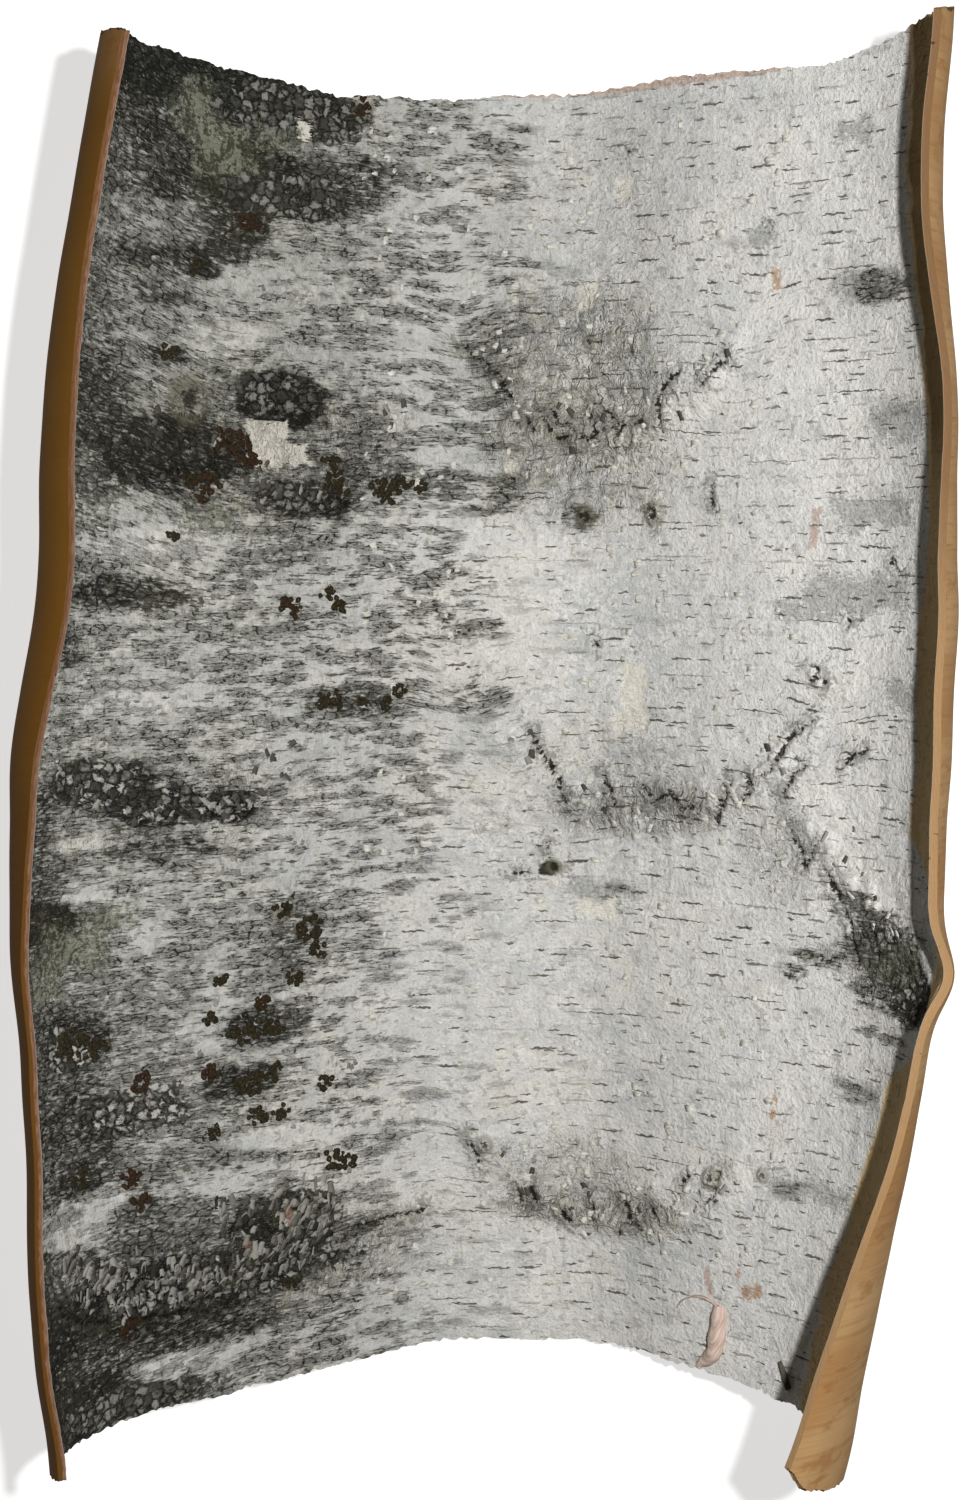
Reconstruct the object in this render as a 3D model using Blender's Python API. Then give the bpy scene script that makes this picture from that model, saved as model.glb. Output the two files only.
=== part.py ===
"""A piece of birch bark, peeled whole from a trunk and dried into a trough, white side up.

The sheet is described on its own surface: s runs across it (metres of arc from the bottom
line, negative to the left) and v runs along it (-1 at the lower end, 1 at the upper end).
Each cross-section starts flat, climbs as a straight wall and curls over in a lip at the rim.
"""

import math

import bmesh
import bpy
import numpy as np

MM = 0.001

# The sheet: its length along the grain and its thickness
LENGTH = 500 * MM
THICKNESS = 3.0 * MM

# Stations along the sheet, evenly spaced from the lower end to the upper end
ARC_LEFT = np.array([240, 243, 241, 246, 248, 242, 241, 234, 225]) * MM
ARC_RIGHT = np.array([226, 226, 225, 229, 233, 233, 230, 228, 235]) * MM
RIM_LEFT = np.radians([120, 121, 121, 125, 137, 144, 140, 135, 131])
RIM_RIGHT = np.radians([149, 136, 118, 115, 124, 125, 119, 125, 122])

# Wall slopes and lip widths at the lower end, the middle and the upper end
WALL_LEFT = np.radians([38, 34, 44])
WALL_RIGHT = np.radians([43, 35, 40])
LIP_LEFT = np.array([90, 90, 90]) * MM
LIP_RIGHT = np.array([123, 101, 99]) * MM
LIP_POWER = 1.5

# Beside the lowest scar on the right, the rim stands out a little and curls over less
KNEE_AT = -0.3
KNEE_WIDTH = 0.055
KNEE_ARC = 2 * MM
KNEE_TURN = math.radians(-8)

# The flat spot that the piece rests on, and the rounding between it and the walls
FLAT_HALF_WIDTH = 16 * MM
FLAT_HALF_LENGTH = 50 * MM
FLAT_MIDDLE_Y = -6 * MM
ROUNDING = 70 * MM
ROCKER = 2.5 * MM

# The sheet's bottom line and middle, measured from the middle of the whole piece
BOTTOM_LINE_X = 8.2 * MM
MIDDLE_Y = 0.1 * MM

# How far each cut end stands out past the length, across the sheet from rim to rim
TOP_PLACES = (-1.0, -0.96, -0.9, -0.8, -0.6, -0.35, 0.0, 0.3, 0.6, 0.8, 0.9, 0.96, 1.0)
TOP_CUT = np.array([-4.5, -3, -2, 5, 0, -4, 0, 3, 0, 9, 7, 3, 2]) * MM
BOTTOM_PLACES = (-1.0, -0.95, -0.85, -0.6, -0.35, 0.0, 0.3, 0.6, 0.75, 0.85, 0.92, 0.97, 1.0)
BOTTOM_CUT = np.array([2, 3.5, 4, 2.5, 2, -2, -2, 1.5, 8, 10, 7.5, 4, -5]) * MM
CUT_REACH = 4
RAGGED = 0.7 * MM
RAGGED_WAVE = 14 * MM

# Slow waves of the rims and of the whole sheet
RIM_WANDER = 0.6 * MM
RIM_WAVE = 24 * MM
SHEET_WAVE = 60 * MM
SHEET_SWELL = 1.2 * MM
SEED = 7

# Branch scars on the white side: middle s, lowest y, half width, rise of the arms
SCARS = (
    (44 * MM, 116 * MM, 56 * MM, 34 * MM),
    (62 * MM, -34 * MM, 70 * MM, 38 * MM),
    (50 * MM, -198 * MM, 56 * MM, 26 * MM),
    (222 * MM, -84 * MM, 100 * MM, 62 * MM),
    (-155 * MM, -212 * MM, 85 * MM, 34 * MM),
    (-146 * MM, -30 * MM, 64 * MM, 26 * MM),
    (-96 * MM, 96 * MM, 60 * MM, 34 * MM),
)
SCAR_POWER = 1.7
SCAR_WIDTH = 8 * MM
SCAR_HEIGHT = 2.6 * MM
SCAR_BELLY = 1.2 * MM

# Coarse plates of the weathered, dark part of the white side
PLATE_WAVE = 13 * MM
PLATE_HEIGHT = 0.7 * MM
WEATHERED_EDGE = -40 * MM
WEATHERED_BLEND = 60 * MM

# The mesh: cells on the white side, with cells twice as large on the tan side
CELLS_ACROSS = 64
CELLS_ALONG = 60

# The torn strip near the lower end: points of its path on the sheet, width and height at each
PEEL_PATH = ((89, -247), (94, -243), (98, -237), (99, -230), (97, -225))
PEEL_WIDTHS = np.array([3, 4.5, 7, 7, 4]) * MM
PEEL_HEIGHTS = np.array([1.5, 2.5, 4, 4, 2.5]) * MM
PEEL_SINK = 1.6 * MM
PEEL_ARCH_STEPS = 6

STEPS_TO_RIM = 240


def smooth(t):
    """An S-shaped ramp from 0 to 1."""
    t = np.clip(t, 0, 1)
    return t * t * (3 - 2 * t)


def through_stations(values, v):
    """A smooth curve through evenly spaced values, read at v from -1 to 1."""
    last = len(values) - 1
    place = (np.asarray(v) + 1) / 2 * last
    i = np.clip(np.floor(place).astype(int), 0, last - 1)
    t = place - i
    padded = np.concatenate([[2 * values[0] - values[1]], values, [2 * values[-1] - values[-2]]])
    a, b, c, d = (padded[i + k] for k in range(4))
    return b + t / 2 * (c - a + t * (2 * a - 5 * b + 4 * c - d + t * (3 * (b - c) + d - a)))


def end_to_end(values, v):
    """A parabola through the values at the lower end, the middle and the upper end."""
    low, middle, high = values
    return middle + (high - low) / 2 * v + ((low + high) / 2 - middle) * v**2


def wander(x, wave, seed):
    """Smooth random waves along a line, from -1 to 1, about one wave long each."""
    levels = np.random.default_rng(seed).uniform(-1, 1, 256)
    place = np.asarray(x) / wave + 100
    i = np.floor(place).astype(int)
    t = smooth(place - i)
    return levels[i % 256] * (1 - t) + levels[(i + 1) % 256] * t


def swell(s, y, wave, seed):
    """Smooth random hills over the sheet, from -1 to 1."""
    levels = np.random.default_rng(seed).uniform(-1, 1, (64, 64))
    a, b = np.broadcast_arrays(s / wave + 32, y / wave + 32)
    i, j = np.floor(a).astype(int), np.floor(b).astype(int)
    p, q = smooth(a - i), smooth(b - j)
    near = levels[i % 64, j % 64] * (1 - q) + levels[i % 64, (j + 1) % 64] * q
    far = levels[(i + 1) % 64, j % 64] * (1 - q) + levels[(i + 1) % 64, (j + 1) % 64] * q
    return near * (1 - p) + far * p


def knee(v):
    """1 where the right rim stands out, falling to 0 on both sides of it."""
    return np.exp(-(((v - KNEE_AT) / KNEE_WIDTH) ** 2))


def arc_to_rim(v):
    """The arc from the bottom line to the left and the right rim."""
    y = v * LENGTH / 2
    left = through_stations(ARC_LEFT, v) + RIM_WANDER * wander(y, RIM_WAVE, SEED)
    right = through_stations(ARC_RIGHT, v) + RIM_WANDER * wander(y, RIM_WAVE, SEED + 1)
    return left, right + KNEE_ARC * knee(v)


def half_section(arc, wall, rim, lip):
    """One side of a cross-section: distance out, height and slope at each step to the rim."""
    s = np.linspace(0, 1, STEPS_TO_RIM + 1) * arc
    rounding = np.clip((s - FLAT_HALF_WIDTH) / (ROUNDING - FLAT_HALF_WIDTH), 0, 1)
    curl = np.clip((s - (arc - lip)) / lip, 0, 1) ** LIP_POWER
    slope = wall * np.sin(rounding * math.pi / 2) + (rim - wall) * curl
    middle = (slope[1:] + slope[:-1]) / 2
    step = arc / STEPS_TO_RIM
    out = np.concatenate([[0], np.cumsum(np.cos(middle) * step)])
    up = np.concatenate([[0], np.cumsum(np.sin(middle) * step)])
    return s, out, up, slope


def sections(v, u):
    """Arc, x, height and slope of the white side, at u from rim to rim in each station v."""
    arcs = arc_to_rim(v)
    rims = through_stations(RIM_LEFT, v), through_stations(RIM_RIGHT, v) + KNEE_TURN * knee(v)
    walls = end_to_end(WALL_LEFT, v), end_to_end(WALL_RIGHT, v)
    lips = end_to_end(LIP_LEFT, v), end_to_end(LIP_RIGHT, v)
    found = np.empty((4, len(u), len(v)))
    for side, way in enumerate((-1, 1)):
        there = u * way >= 0
        for k in range(len(v)):
            s, out, up, slope = half_section(
                arcs[side][k], walls[side][k], rims[side][k], lips[side][k]
            )
            at = np.abs(u[there]) * arcs[side][k]
            found[0, there, k] = way * at
            found[1, there, k] = way * np.interp(at, s, out)
            found[2, there, k] = np.interp(at, s, up)
            found[3, there, k] = way * np.interp(at, s, slope)
    return found


def along(u, v, s):
    """y of each point: the length, with the cut ends' own outlines near the ends."""
    top = np.interp(u, TOP_PLACES, TOP_CUT)[:, None]
    bottom = np.interp(u, BOTTOM_PLACES, BOTTOM_CUT)[:, None]
    top = top + RAGGED * wander(s, RAGGED_WAVE, SEED + 2)
    bottom = bottom + RAGGED * wander(s, RAGGED_WAVE, SEED + 3)
    return (
        v[None] * LENGTH / 2
        + top * ((1 + v[None]) / 2) ** CUT_REACH
        - bottom * ((1 - v[None]) / 2) ** CUT_REACH
    )


def clear_of_flat(s, y):
    """0 on the flat spot and 1 away from it."""
    across = (np.abs(s) - FLAT_HALF_WIDTH) / ROUNDING
    length = (np.abs(y - FLAT_MIDDLE_Y) - FLAT_HALF_LENGTH) / ROUNDING
    return smooth(np.maximum(across, length))


def scar_relief(s, y):
    """Branch scars: a rough ridge in the shape of a drooping moustache, with a swollen inside."""
    height = np.zeros_like(s)
    for middle, lowest, half_width, rise in SCARS:
        across = (s - middle) / half_width
        arm = lowest + rise * np.abs(across) ** SCAR_POWER
        inside = smooth((1.15 - np.abs(across)) / 0.3)
        ridge = np.exp(-(((y - arm) / SCAR_WIDTH) ** 2))
        belly = smooth((y - arm) / (2 * SCAR_WIDTH)) * smooth((lowest + 1.5 * rise - y) / rise)
        height += inside * (SCAR_HEIGHT * ridge + SCAR_BELLY * belly)
    return height


def white_relief(s, y):
    """How far the white side stands out from the smooth sheet."""
    weathered = smooth((WEATHERED_EDGE - s) / WEATHERED_BLEND)
    plates = PLATE_HEIGHT * swell(s, y, PLATE_WAVE, SEED + 5)
    return scar_relief(s, y) + weathered * plates


def sheet(u, v):
    """The white side's and the tan side's points, each in an array of (u, v, 3)."""
    s, x, up, slope = sections(v, u)
    y = along(u, v, s)
    away = clear_of_flat(s, y)
    rise = ROCKER * smooth((np.abs(y - FLAT_MIDDLE_Y) - FLAT_HALF_LENGTH) / (LENGTH / 2)) ** 2
    shared = SHEET_SWELL * away * swell(s, y, SHEET_WAVE, SEED + 4)
    inward = np.stack([-np.sin(slope), np.zeros_like(s), np.cos(slope)], -1)
    smooth_side = np.stack([x + BOTTOM_LINE_X, y + MIDDLE_Y, up + rise + THICKNESS], -1)
    tan_side = smooth_side + inward * (shared - THICKNESS)[..., None]
    tan_side[..., 2] = np.maximum(tan_side[..., 2], 0)
    white_side = smooth_side + inward * (shared + white_relief(s, y))[..., None]
    return white_side, tan_side


def grid_faces(columns, rows, first):
    """Quads over a grid of points, numbered from first, that turn clockwise from above."""
    faces = []
    for i in range(columns):
        for j in range(rows):
            a = first + i * (rows + 1) + j
            faces.append((a, a + 1, a + rows + 2, a + rows + 1))
    return faces


def border(columns, rows, first, step):
    """The outline's points of a grid, in order round it, each step of the finer grid."""
    place = lambda i, j: first + i * (rows + 1) + j
    ring = [place(i, 0) for i in range(0, columns, step)]
    ring += [place(columns, j) for j in range(0, rows, step)]
    ring += [place(i, rows) for i in range(columns, 0, -step)]
    ring += [place(0, j) for j in range(rows, 0, -step)]
    return ring


def bark_mesh():
    """The closed sheet: a fine white side, a tan side of larger cells, and the cut rim."""
    fine_u = np.linspace(-1, 1, CELLS_ACROSS + 1)
    fine_v = np.linspace(-1, 1, CELLS_ALONG + 1)
    white_side = sheet(fine_u, fine_v)[0]
    tan_side = sheet(fine_u[::2], fine_v[::2])[1]
    points = np.concatenate([white_side.reshape(-1, 3), tan_side.reshape(-1, 3)])
    first_tan = (CELLS_ACROSS + 1) * (CELLS_ALONG + 1)
    faces = grid_faces(CELLS_ACROSS, CELLS_ALONG, 0)
    faces += grid_faces(CELLS_ACROSS // 2, CELLS_ALONG // 2, first_tan)
    fine = border(CELLS_ACROSS, CELLS_ALONG, 0, 1)
    coarse = border(CELLS_ACROSS // 2, CELLS_ALONG // 2, first_tan, 1)
    for k in range(len(coarse)):
        low, high = coarse[k], coarse[(k + 1) % len(coarse)]
        start, middle, end = fine[2 * k], fine[2 * k + 1], fine[(2 * k + 2) % len(fine)]
        faces += [(start, middle, low), (middle, end, high, low)]
    return points, faces


def peel_mesh():
    """The torn strip: a narrow arched ribbon along its path, with its foot sunk in the sheet."""
    rings = []
    for (s0, y0), width, height in zip(PEEL_PATH, PEEL_WIDTHS, PEEL_HEIGHTS):
        ring = [(-width / 2, -PEEL_SINK), (width / 2, -PEEL_SINK)]
        for turn in np.linspace(0, math.pi, PEEL_ARCH_STEPS + 1):
            ring.append((width / 2 * math.cos(turn), height * math.sin(turn)))
        rings.append([on_sheet(s0 * MM + across, y0 * MM, up) for across, up in ring])
    points = [p for ring in rings for p in ring]
    size = len(rings[0])
    faces = [tuple(range(size)), tuple(range(len(points) - size, len(points)))[::-1]]
    for k in range(len(rings) - 1):
        for i in range(size):
            a, b = k * size + i, k * size + (i + 1) % size
            faces.append((a, a + size, b + size, b))
    return points, faces


def on_sheet(s, y, height):
    """The point at arc s and length y on the right half, this far above the white side."""
    v = np.array([y / (LENGTH / 2)])
    u = np.array([s]) / arc_to_rim(v)[1]
    _, x, up, slope = (a[0, 0] for a in sections(v, u))
    rise = ROCKER * smooth((abs(y - FLAT_MIDDLE_Y) - FLAT_HALF_LENGTH) / (LENGTH / 2)) ** 2
    return (
        x + BOTTOM_LINE_X - math.sin(slope) * height,
        y + MIDDLE_Y,
        up + rise + THICKNESS + math.cos(slope) * height,
    )


def bark_material():
    """Weathered birch bark, pale grey."""
    material = bpy.data.materials.new("birch_bark")
    material.use_nodes = True
    shader = material.node_tree.nodes["Principled BSDF"]
    shader.inputs["Base Color"].default_value = (0.52, 0.50, 0.46, 1)
    shader.inputs["Roughness"].default_value = 0.85
    shader.inputs["Metallic"].default_value = 0.0
    return material


def add_object(name, points, faces, material):
    """A mesh object with every face turned outwards and soft shading over shallow edges."""
    mesh = bpy.data.meshes.new(name)
    mesh.from_pydata([tuple(p) for p in points], [], faces)
    shape = bmesh.new()
    shape.from_mesh(mesh)
    bmesh.ops.recalc_face_normals(shape, faces=shape.faces)
    shape.to_mesh(mesh)
    shape.free()
    mesh.materials.append(material)
    mesh.shade_smooth()
    mesh.set_sharp_from_angle(angle=math.radians(50))
    obj = bpy.data.objects.new(name, mesh)
    bpy.context.scene.collection.objects.link(obj)
    return obj


def main():
    for old in list(bpy.data.objects):
        bpy.data.objects.remove(old, do_unlink=True)
    material = bark_material()
    bark = add_object("bark", *bark_mesh(), material)
    peel = add_object("peel", *peel_mesh(), material)
    peel.hide_render = True
    peel.display_type = "WIRE"
    join = bark.modifiers.new("grown_together", "BOOLEAN")
    join.operation = "UNION"
    join.object = peel


main()
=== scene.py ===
"""The dressed piece of birch bark: white weathered side, tan inner side, cut rim, lichen and flakes.

Lengths on the sheet are in millimetres: s runs across it from the bottom line (negative to the
left) and y along it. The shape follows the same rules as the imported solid.
"""

import functools
import math

import bpy
import numpy as np
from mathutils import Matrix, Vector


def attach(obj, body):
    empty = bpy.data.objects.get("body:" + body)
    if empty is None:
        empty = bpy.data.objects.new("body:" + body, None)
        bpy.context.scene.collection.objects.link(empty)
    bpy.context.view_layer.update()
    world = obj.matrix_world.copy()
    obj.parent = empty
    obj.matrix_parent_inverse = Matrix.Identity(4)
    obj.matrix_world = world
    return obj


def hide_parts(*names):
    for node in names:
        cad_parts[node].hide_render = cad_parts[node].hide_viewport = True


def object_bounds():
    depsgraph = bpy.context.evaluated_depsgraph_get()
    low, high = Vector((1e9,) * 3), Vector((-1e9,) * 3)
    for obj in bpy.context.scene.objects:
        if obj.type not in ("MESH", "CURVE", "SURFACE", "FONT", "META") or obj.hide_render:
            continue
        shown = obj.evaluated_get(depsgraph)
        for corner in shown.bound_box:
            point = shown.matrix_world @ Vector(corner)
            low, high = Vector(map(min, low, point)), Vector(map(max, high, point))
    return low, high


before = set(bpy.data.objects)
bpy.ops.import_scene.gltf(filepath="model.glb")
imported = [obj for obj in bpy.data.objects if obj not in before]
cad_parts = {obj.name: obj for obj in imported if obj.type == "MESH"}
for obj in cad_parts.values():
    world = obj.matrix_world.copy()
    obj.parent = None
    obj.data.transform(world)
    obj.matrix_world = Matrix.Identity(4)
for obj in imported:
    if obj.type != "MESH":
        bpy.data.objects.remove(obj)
cad_low, cad_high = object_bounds()

# ---- The sheet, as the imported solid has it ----

LENGTH = 500.0
THICKNESS = 3.0
ARC_LEFT = np.array([240, 243, 241, 246, 248, 242, 241, 234, 225.0])
ARC_RIGHT = np.array([226, 226, 225, 229, 233, 233, 230, 228, 235.0])
RIM_LEFT = np.radians([120, 121, 121, 125, 137, 144, 140, 135, 131])
RIM_RIGHT = np.radians([149, 136, 118, 115, 124, 125, 119, 125, 122])
WALL_LEFT = np.radians([38, 34, 44])
WALL_RIGHT = np.radians([43, 35, 40])
LIP_LEFT = np.array([90, 90, 90.0])
LIP_RIGHT = np.array([123, 101, 99.0])
LIP_POWER = 1.5
KNEE_AT = -0.3
KNEE_WIDTH = 0.055
KNEE_ARC = 2.0
KNEE_TURN = math.radians(-8)
FLAT_HALF_WIDTH = 16.0
FLAT_HALF_LENGTH = 50.0
FLAT_MIDDLE_Y = -6.0
ROUNDING = 70.0
ROCKER = 2.5
BOTTOM_LINE_X = 8.2
MIDDLE_Y = 0.1
TOP_PLACES = (-1.0, -0.96, -0.9, -0.8, -0.6, -0.35, 0.0, 0.3, 0.6, 0.8, 0.9, 0.96, 1.0)
TOP_CUT = (-4.5, -3, -2, 5, 0, -4, 0, 3, 0, 9, 7, 3, 2)
BOTTOM_PLACES = (-1.0, -0.95, -0.85, -0.6, -0.35, 0.0, 0.3, 0.6, 0.75, 0.85, 0.92, 0.97, 1.0)
BOTTOM_CUT = (2, 3.5, 4, 2.5, 2, -2, -2, 1.5, 8, 10, 7.5, 4, -5)
CUT_REACH = 4
RAGGED = 0.7
RAGGED_WAVE = 14.0
RIM_WANDER = 0.6
RIM_WAVE = 24.0
SHEET_WAVE = 60.0
SHEET_SWELL = 1.2
SEED = 7
SCARS = (
    (44, 116, 56, 34),
    (62, -34, 70, 38),
    (50, -198, 56, 26),
    (222, -84, 100, 62),
    (-155, -212, 85, 34),
    (-146, -30, 64, 26),
    (-96, 96, 60, 34),
)
SCAR_POWER = 1.7
SCAR_WIDTH = 8.0
SCAR_HEIGHT = 2.6
SCAR_BELLY = 1.2
PLATE_WAVE = 13.0
PLATE_HEIGHT = 0.7
WEATHERED_EDGE = -40.0
WEATHERED_BLEND = 60.0
STEPS_TO_RIM = 240
# The scene alone frays the cut ends and fades the relief out towards the edge of the sheet
FRAYS = ((1.3, 3.3, 81), (0.5, 1.5, 82))
TO_RIM, TO_END = 235, 250
RELIEF_FADE = 5
# The canvas that the lens-shaped patches are laid out on
CANVAS_STEPS, CANVAS_CELL, CANVAS_REACH = 800, 0.8, 320
FAR_AWAY = 9.0

# ---- What grows and shows on the white side, placed from the photograph ----

# How weathered the white side is across the sheet, from 0 to 1
WEATHER_PLACES = (-250, -150, -100, -65, -30, 0, 50, 250)
WEATHER_LEVEL = (0.56, 0.52, 0.46, 0.36, 0.22, 0.12, 0.05, 0.03)

# Patches that are darker or lighter: s, y, half width, half height, level
PATCHES = (
    (-215, 150, 22, 80, 0.8), (-205, 236, 44, 24, 0.97), (-135, 205, 78, 32, 0.8), (-215, -30, 20, 26, 0.75),
    (-205, -235, 40, 24, 0.9), (-150, -105, 32, 22, 0.6), (-150, -150, 44, 16, 0.64),
    (-150, 225, 96, 46, 0.8), (-45, 215, 44, 34, 0.42), (-50, 150, 30, 40, 0.34), (-200, 130, 40, 70, 0.68),
    (-205, -140, 36, 120, 0.72), (-200, -222, 46, 40, 0.88), (-138, -195, 66, 30, 0.66),
    (-100, 110, 60, 34, 0.62), (-46, 190, 56, 66, 0.46), (-18, 150, 30, 60, 0.36), (-75, 60, 60, 40, 0.42),
    (-70, -20, 44, 50, 0.34),
    (-150, 246, 62, 11, 0.92), (-92, 238, 36, 10, 0.92), (-185, 208, 26, 18, 0.72),
    (-97, 206, 30, 9, 0.95), (-165, 192, 36, 9, 0.62), (-110, 194, 8, 8, 0.85),
    (-100, 174, 32, 7, 0.3), (-132, 177, 9, 5, 0.85), (-150, 166, 16, 5, 0.72),
    (-146, 146, 9, 6, 0.75), (-125, 152, 22, 6, 0.27), (-186, 128, 24, 16, 0.78),
    (-95, 130, 20, 10, 1.0), (-148, 108, 38, 14, 0.86), (-186, 100, 16, 10, 0.7),
    (-84, 92, 24, 8, 0.86), (-128, 88, 24, 5, 0.62), (-45, 100, 38, 7, 0.66),
    (-152, 74, 30, 7, 0.27), (-122, 76, 12, 6, 0.27), (-162, 57, 30, 6, 0.8),
    (-104, 46, 24, 6, 0.55), (-190, 36, 11, 7, 0.72), (-130, 30, 18, 4, 0.5),
    (-150, 18, 34, 7, 0.27), (-60, 14, 24, 7, 0.72), (-28, 16, 22, 6, 0.5),
    (-190, -6, 22, 6, 0.6), (-174, -13, 26, 9, 0.78), (-148, -24, 24, 7, 0.82),
    (-117, -24, 14, 7, 1.0), (-176, -35, 16, 4, 0.27), (-126, -35, 12, 4, 0.27),
    (-146, -40, 24, 5, 0.7), (-178, -52, 12, 5, 0.27), (-128, -50, 30, 6, 0.48),
    (-202, -62, 20, 7, 0.9), (-126, -70, 20, 8, 0.48), (-152, -73, 10, 6, 0.27),
    (-88, -80, 13, 14, 0.7), (-66, -84, 18, 10, 0.5), (-192, -86, 12, 10, 0.66),
    (-142, -91, 38, 9, 0.58), (-123, -88, 8, 6, 0.27), (-124, -98, 8, 4, 0.27),
    (-187, -108, 15, 10, 0.82), (-128, -112, 11, 8, 0.27), (-102, -112, 22, 8, 0.76),
    (-190, -136, 24, 9, 0.76), (-162, -142, 24, 11, 0.8), (-114, -132, 16, 8, 0.8),
    (-62, 212, 34, 12, 0.7), (-112, 214, 26, 10, 0.86), (-100, 72, 22, 10, 0.6),
    (-138, -150, 30, 6, 0.56), (-186, -158, 14, 6, 0.8), (-95, -156, 34, 4, 0.16),
    (-186, -174, 30, 8, 0.27), (-110, -170, 34, 5, 0.27), (-160, -180, 10, 14, 0.7),
    (-200, -190, 22, 6, 0.7), (-152, -208, 66, 12, 0.88), (-98, -190, 26, 12, 0.86),
    (-64, -198, 12, 3, 0.7), (-150, -226, 56, 7, 0.78), (-142, -236, 26, 3, 0.27),
    (-172, -246, 44, 7, 0.86), (-112, -244, 30, 4, 0.6), (-60, -219, 14, 3, 0.5),
    (-30, 128, 22, 6, 0.34), (-30, 205, 26, 12, 0.3), (-12, 232, 24, 7, 0.42),
    (-6, 94, 14, 8, 0.55), (30, 86, 8, 6, 0.66),
    (-18, 42, 22, 6, 0.46), (-14, 13, 16, 6, 0.55), (-20, -72, 12, 6, 0.3),
    (163, 170, 12, 6, 0.62), (168, 118, 18, 8, 0.12),
    (150, -60, 14, 8, 0.6), (172, -74, 24, 12, 0.66), (188, -88, 20, 11, 0.84),
    (140, -80, 14, 7, 0.5), (164, -90, 14, 5, 0.56), (124, -87, 5, 3, 0.6), (168, -106, 16, 4, 0.4),
    (160, -129, 14, 5, 0.4), (140, -170, 24, 5, 0.34), (20, -55, 5, 4, 0.9),
    (46, -62, 14, 4, 0.4), (-112, 213, 20, 10, 0.95), (-94, 208, 24, 9, 0.85), (-68, 213, 24, 10, 0.74),
)
# Places with round light grains on black, as s, y, half width, half height
GRAINS = (
    (186, -84, 14, 10), (172, -72, 10, 8),
    (-92, 237, 34, 10), (-95, 206, 30, 8), (-97, 131, 20, 8), (-120, -24, 14, 7),
    (-150, -22, 22, 6), (-175, -12, 22, 8), (-160, -138, 24, 10), (-120, -206, 60, 10),
    (-84, -188, 16, 9), (-170, -246, 44, 6), (-190, -110, 12, 8), (-88, 92, 12, 6),
)
# Rough papery places: s, y, half width, half height, level
ROUGH = (
    (30, 192, 42, 52, 0.35), (26, 142, 42, 30, 0.75), (30, 106, 42, 26, 0.55), (20, 118, 30, 20, 0.8),
    (46, -27, 48, 13, 0.75), (40, -8, 40, 16, 0.4), (38, -191, 46, 11, 0.75), (26, -174, 36, 11, 0.5),
    (120, -40, 18, 24, 0.45), (172, -78, 26, 16, 0.75), (-120, -205, 90, 22, 0.7), (-100, 110, 70, 30, 0.6),
    (150, 170, 24, 12, 0.3), (130, 8, 20, 16, 0.25),
    (-20, 0, 50, 60, 0.3), (-150, -20, 60, 24, 0.5),
)
# Cracks and bold dark strokes: width in mm, then points s, y
STROKES = (
    (1.1, -17, 154, -12, 149, -6, 145), (1.6, -3, 142, 1, 135, 5, 129), (1.3, 7, 127, 10, 122, 13, 119),
    (1.2, 19, 119, 23, 116, 27, 118), (1.5, 30, 119, 34, 116, 38, 119), (1.1, 43, 121, 46, 118, 48, 120),
    (1.0, 52, 121, 56, 123, 60, 120), (0.8, 14, 128, 17, 121, 18, 115), (0.8, 34, 126, 36, 119, 37, 113),
    (1.3, 74, 141, 68, 137, 65, 130, 66, 119), (1.0, 96, 146, 90, 141, 84, 136),
    (0.9, 18, 130, 22, 123, 28, 120), (1.0, 40, 128, 45, 123, 50, 121),
    (0.8, 10, 2, 14, -6, 19, -12), (1.6, 12, -4, 17, -10, 21, -18, 25, -28),
    (1.3, 40, -16, 44, -22, 46, -28), (0.9, 58, -20, 64, -26, 70, -22, 76, -28, 84, -27),
    (2.0, 98, -16, 96, -22, 92, -29, 91, -33), (1.4, 106, -13, 107, -20, 103, -24),
    (1.1, 112, -13, 118, -8, 122, 0, 128, 6, 134, 9), (0.7, 121, -20, 125, -12, 131, -8),
    (0.9, 146, -8, 150, -3, 156, -1), (0.8, 124, -34, 129, -42, 130, -48, 136, -38),
    (2.0, 139, -48, 143, -54, 146, -59), (1.0, 146, -59, 151, -68, 153, -77, 158, -84),
    (0.9, 160, -66, 164, -74, 163, -84), (0.8, 132, -80, 140, -82, 147, -80),
    (1.3, -15, -164, -12, -171, -9, -179), (2.0, 10, -184, 13, -192), (2.2, 24, -194, 27, -199),
    (1.6, 36, -190, 38, -197), (1.4, 50, -186, 54, -194, 60, -197), (1.5, 64, -188, 68, -194),
    (1.2, 96, -168, 95, -176, 91, -183), (1.0, 78, -176, 82, -172), (1.0, 6, -186, 8, -194),
    (2.4, 17, -53, 22, -55), (0.9, 18, -50, 17, -44), (0.6, 2, -57, 10, -56),
    (1.2, 132, 29, 134, 27, 133, 24), (0.9, 134, 25, 138, 22), (1.0, 147, 47, 147, 44),
    (0.9, 167, 70, 166, 67, 169, 65), (1.2, 27, 90, 31, 85, 36, 84), (1.4, 60, 90, 62, 84),
    (0.9, 88, 98, 87, 92, 90, 88), (1.0, -2, 96, 2, 92, -6, 88), (0.8, 2, 101, 8, 100),
    (1.0, -20, 40, -16, 39, -14, 41), (0.8, 36, 36, 38, 34), (0.9, 48, 228, 51, 227),
    (1.0, -90, -60, -96, -70), (1.1, -64, -196, -50, -195, -30, -194),
    (1.4, -104, -182, -96, -186, -86, -182, -78, -188), (1.2, -128, -196, -120, -206, -112, -198),
    (1.6, -210, -194, -200, -206, -186, -212, -170, -214), (1.2, -168, -214, -150, -216, -130, -218),
)
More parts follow.
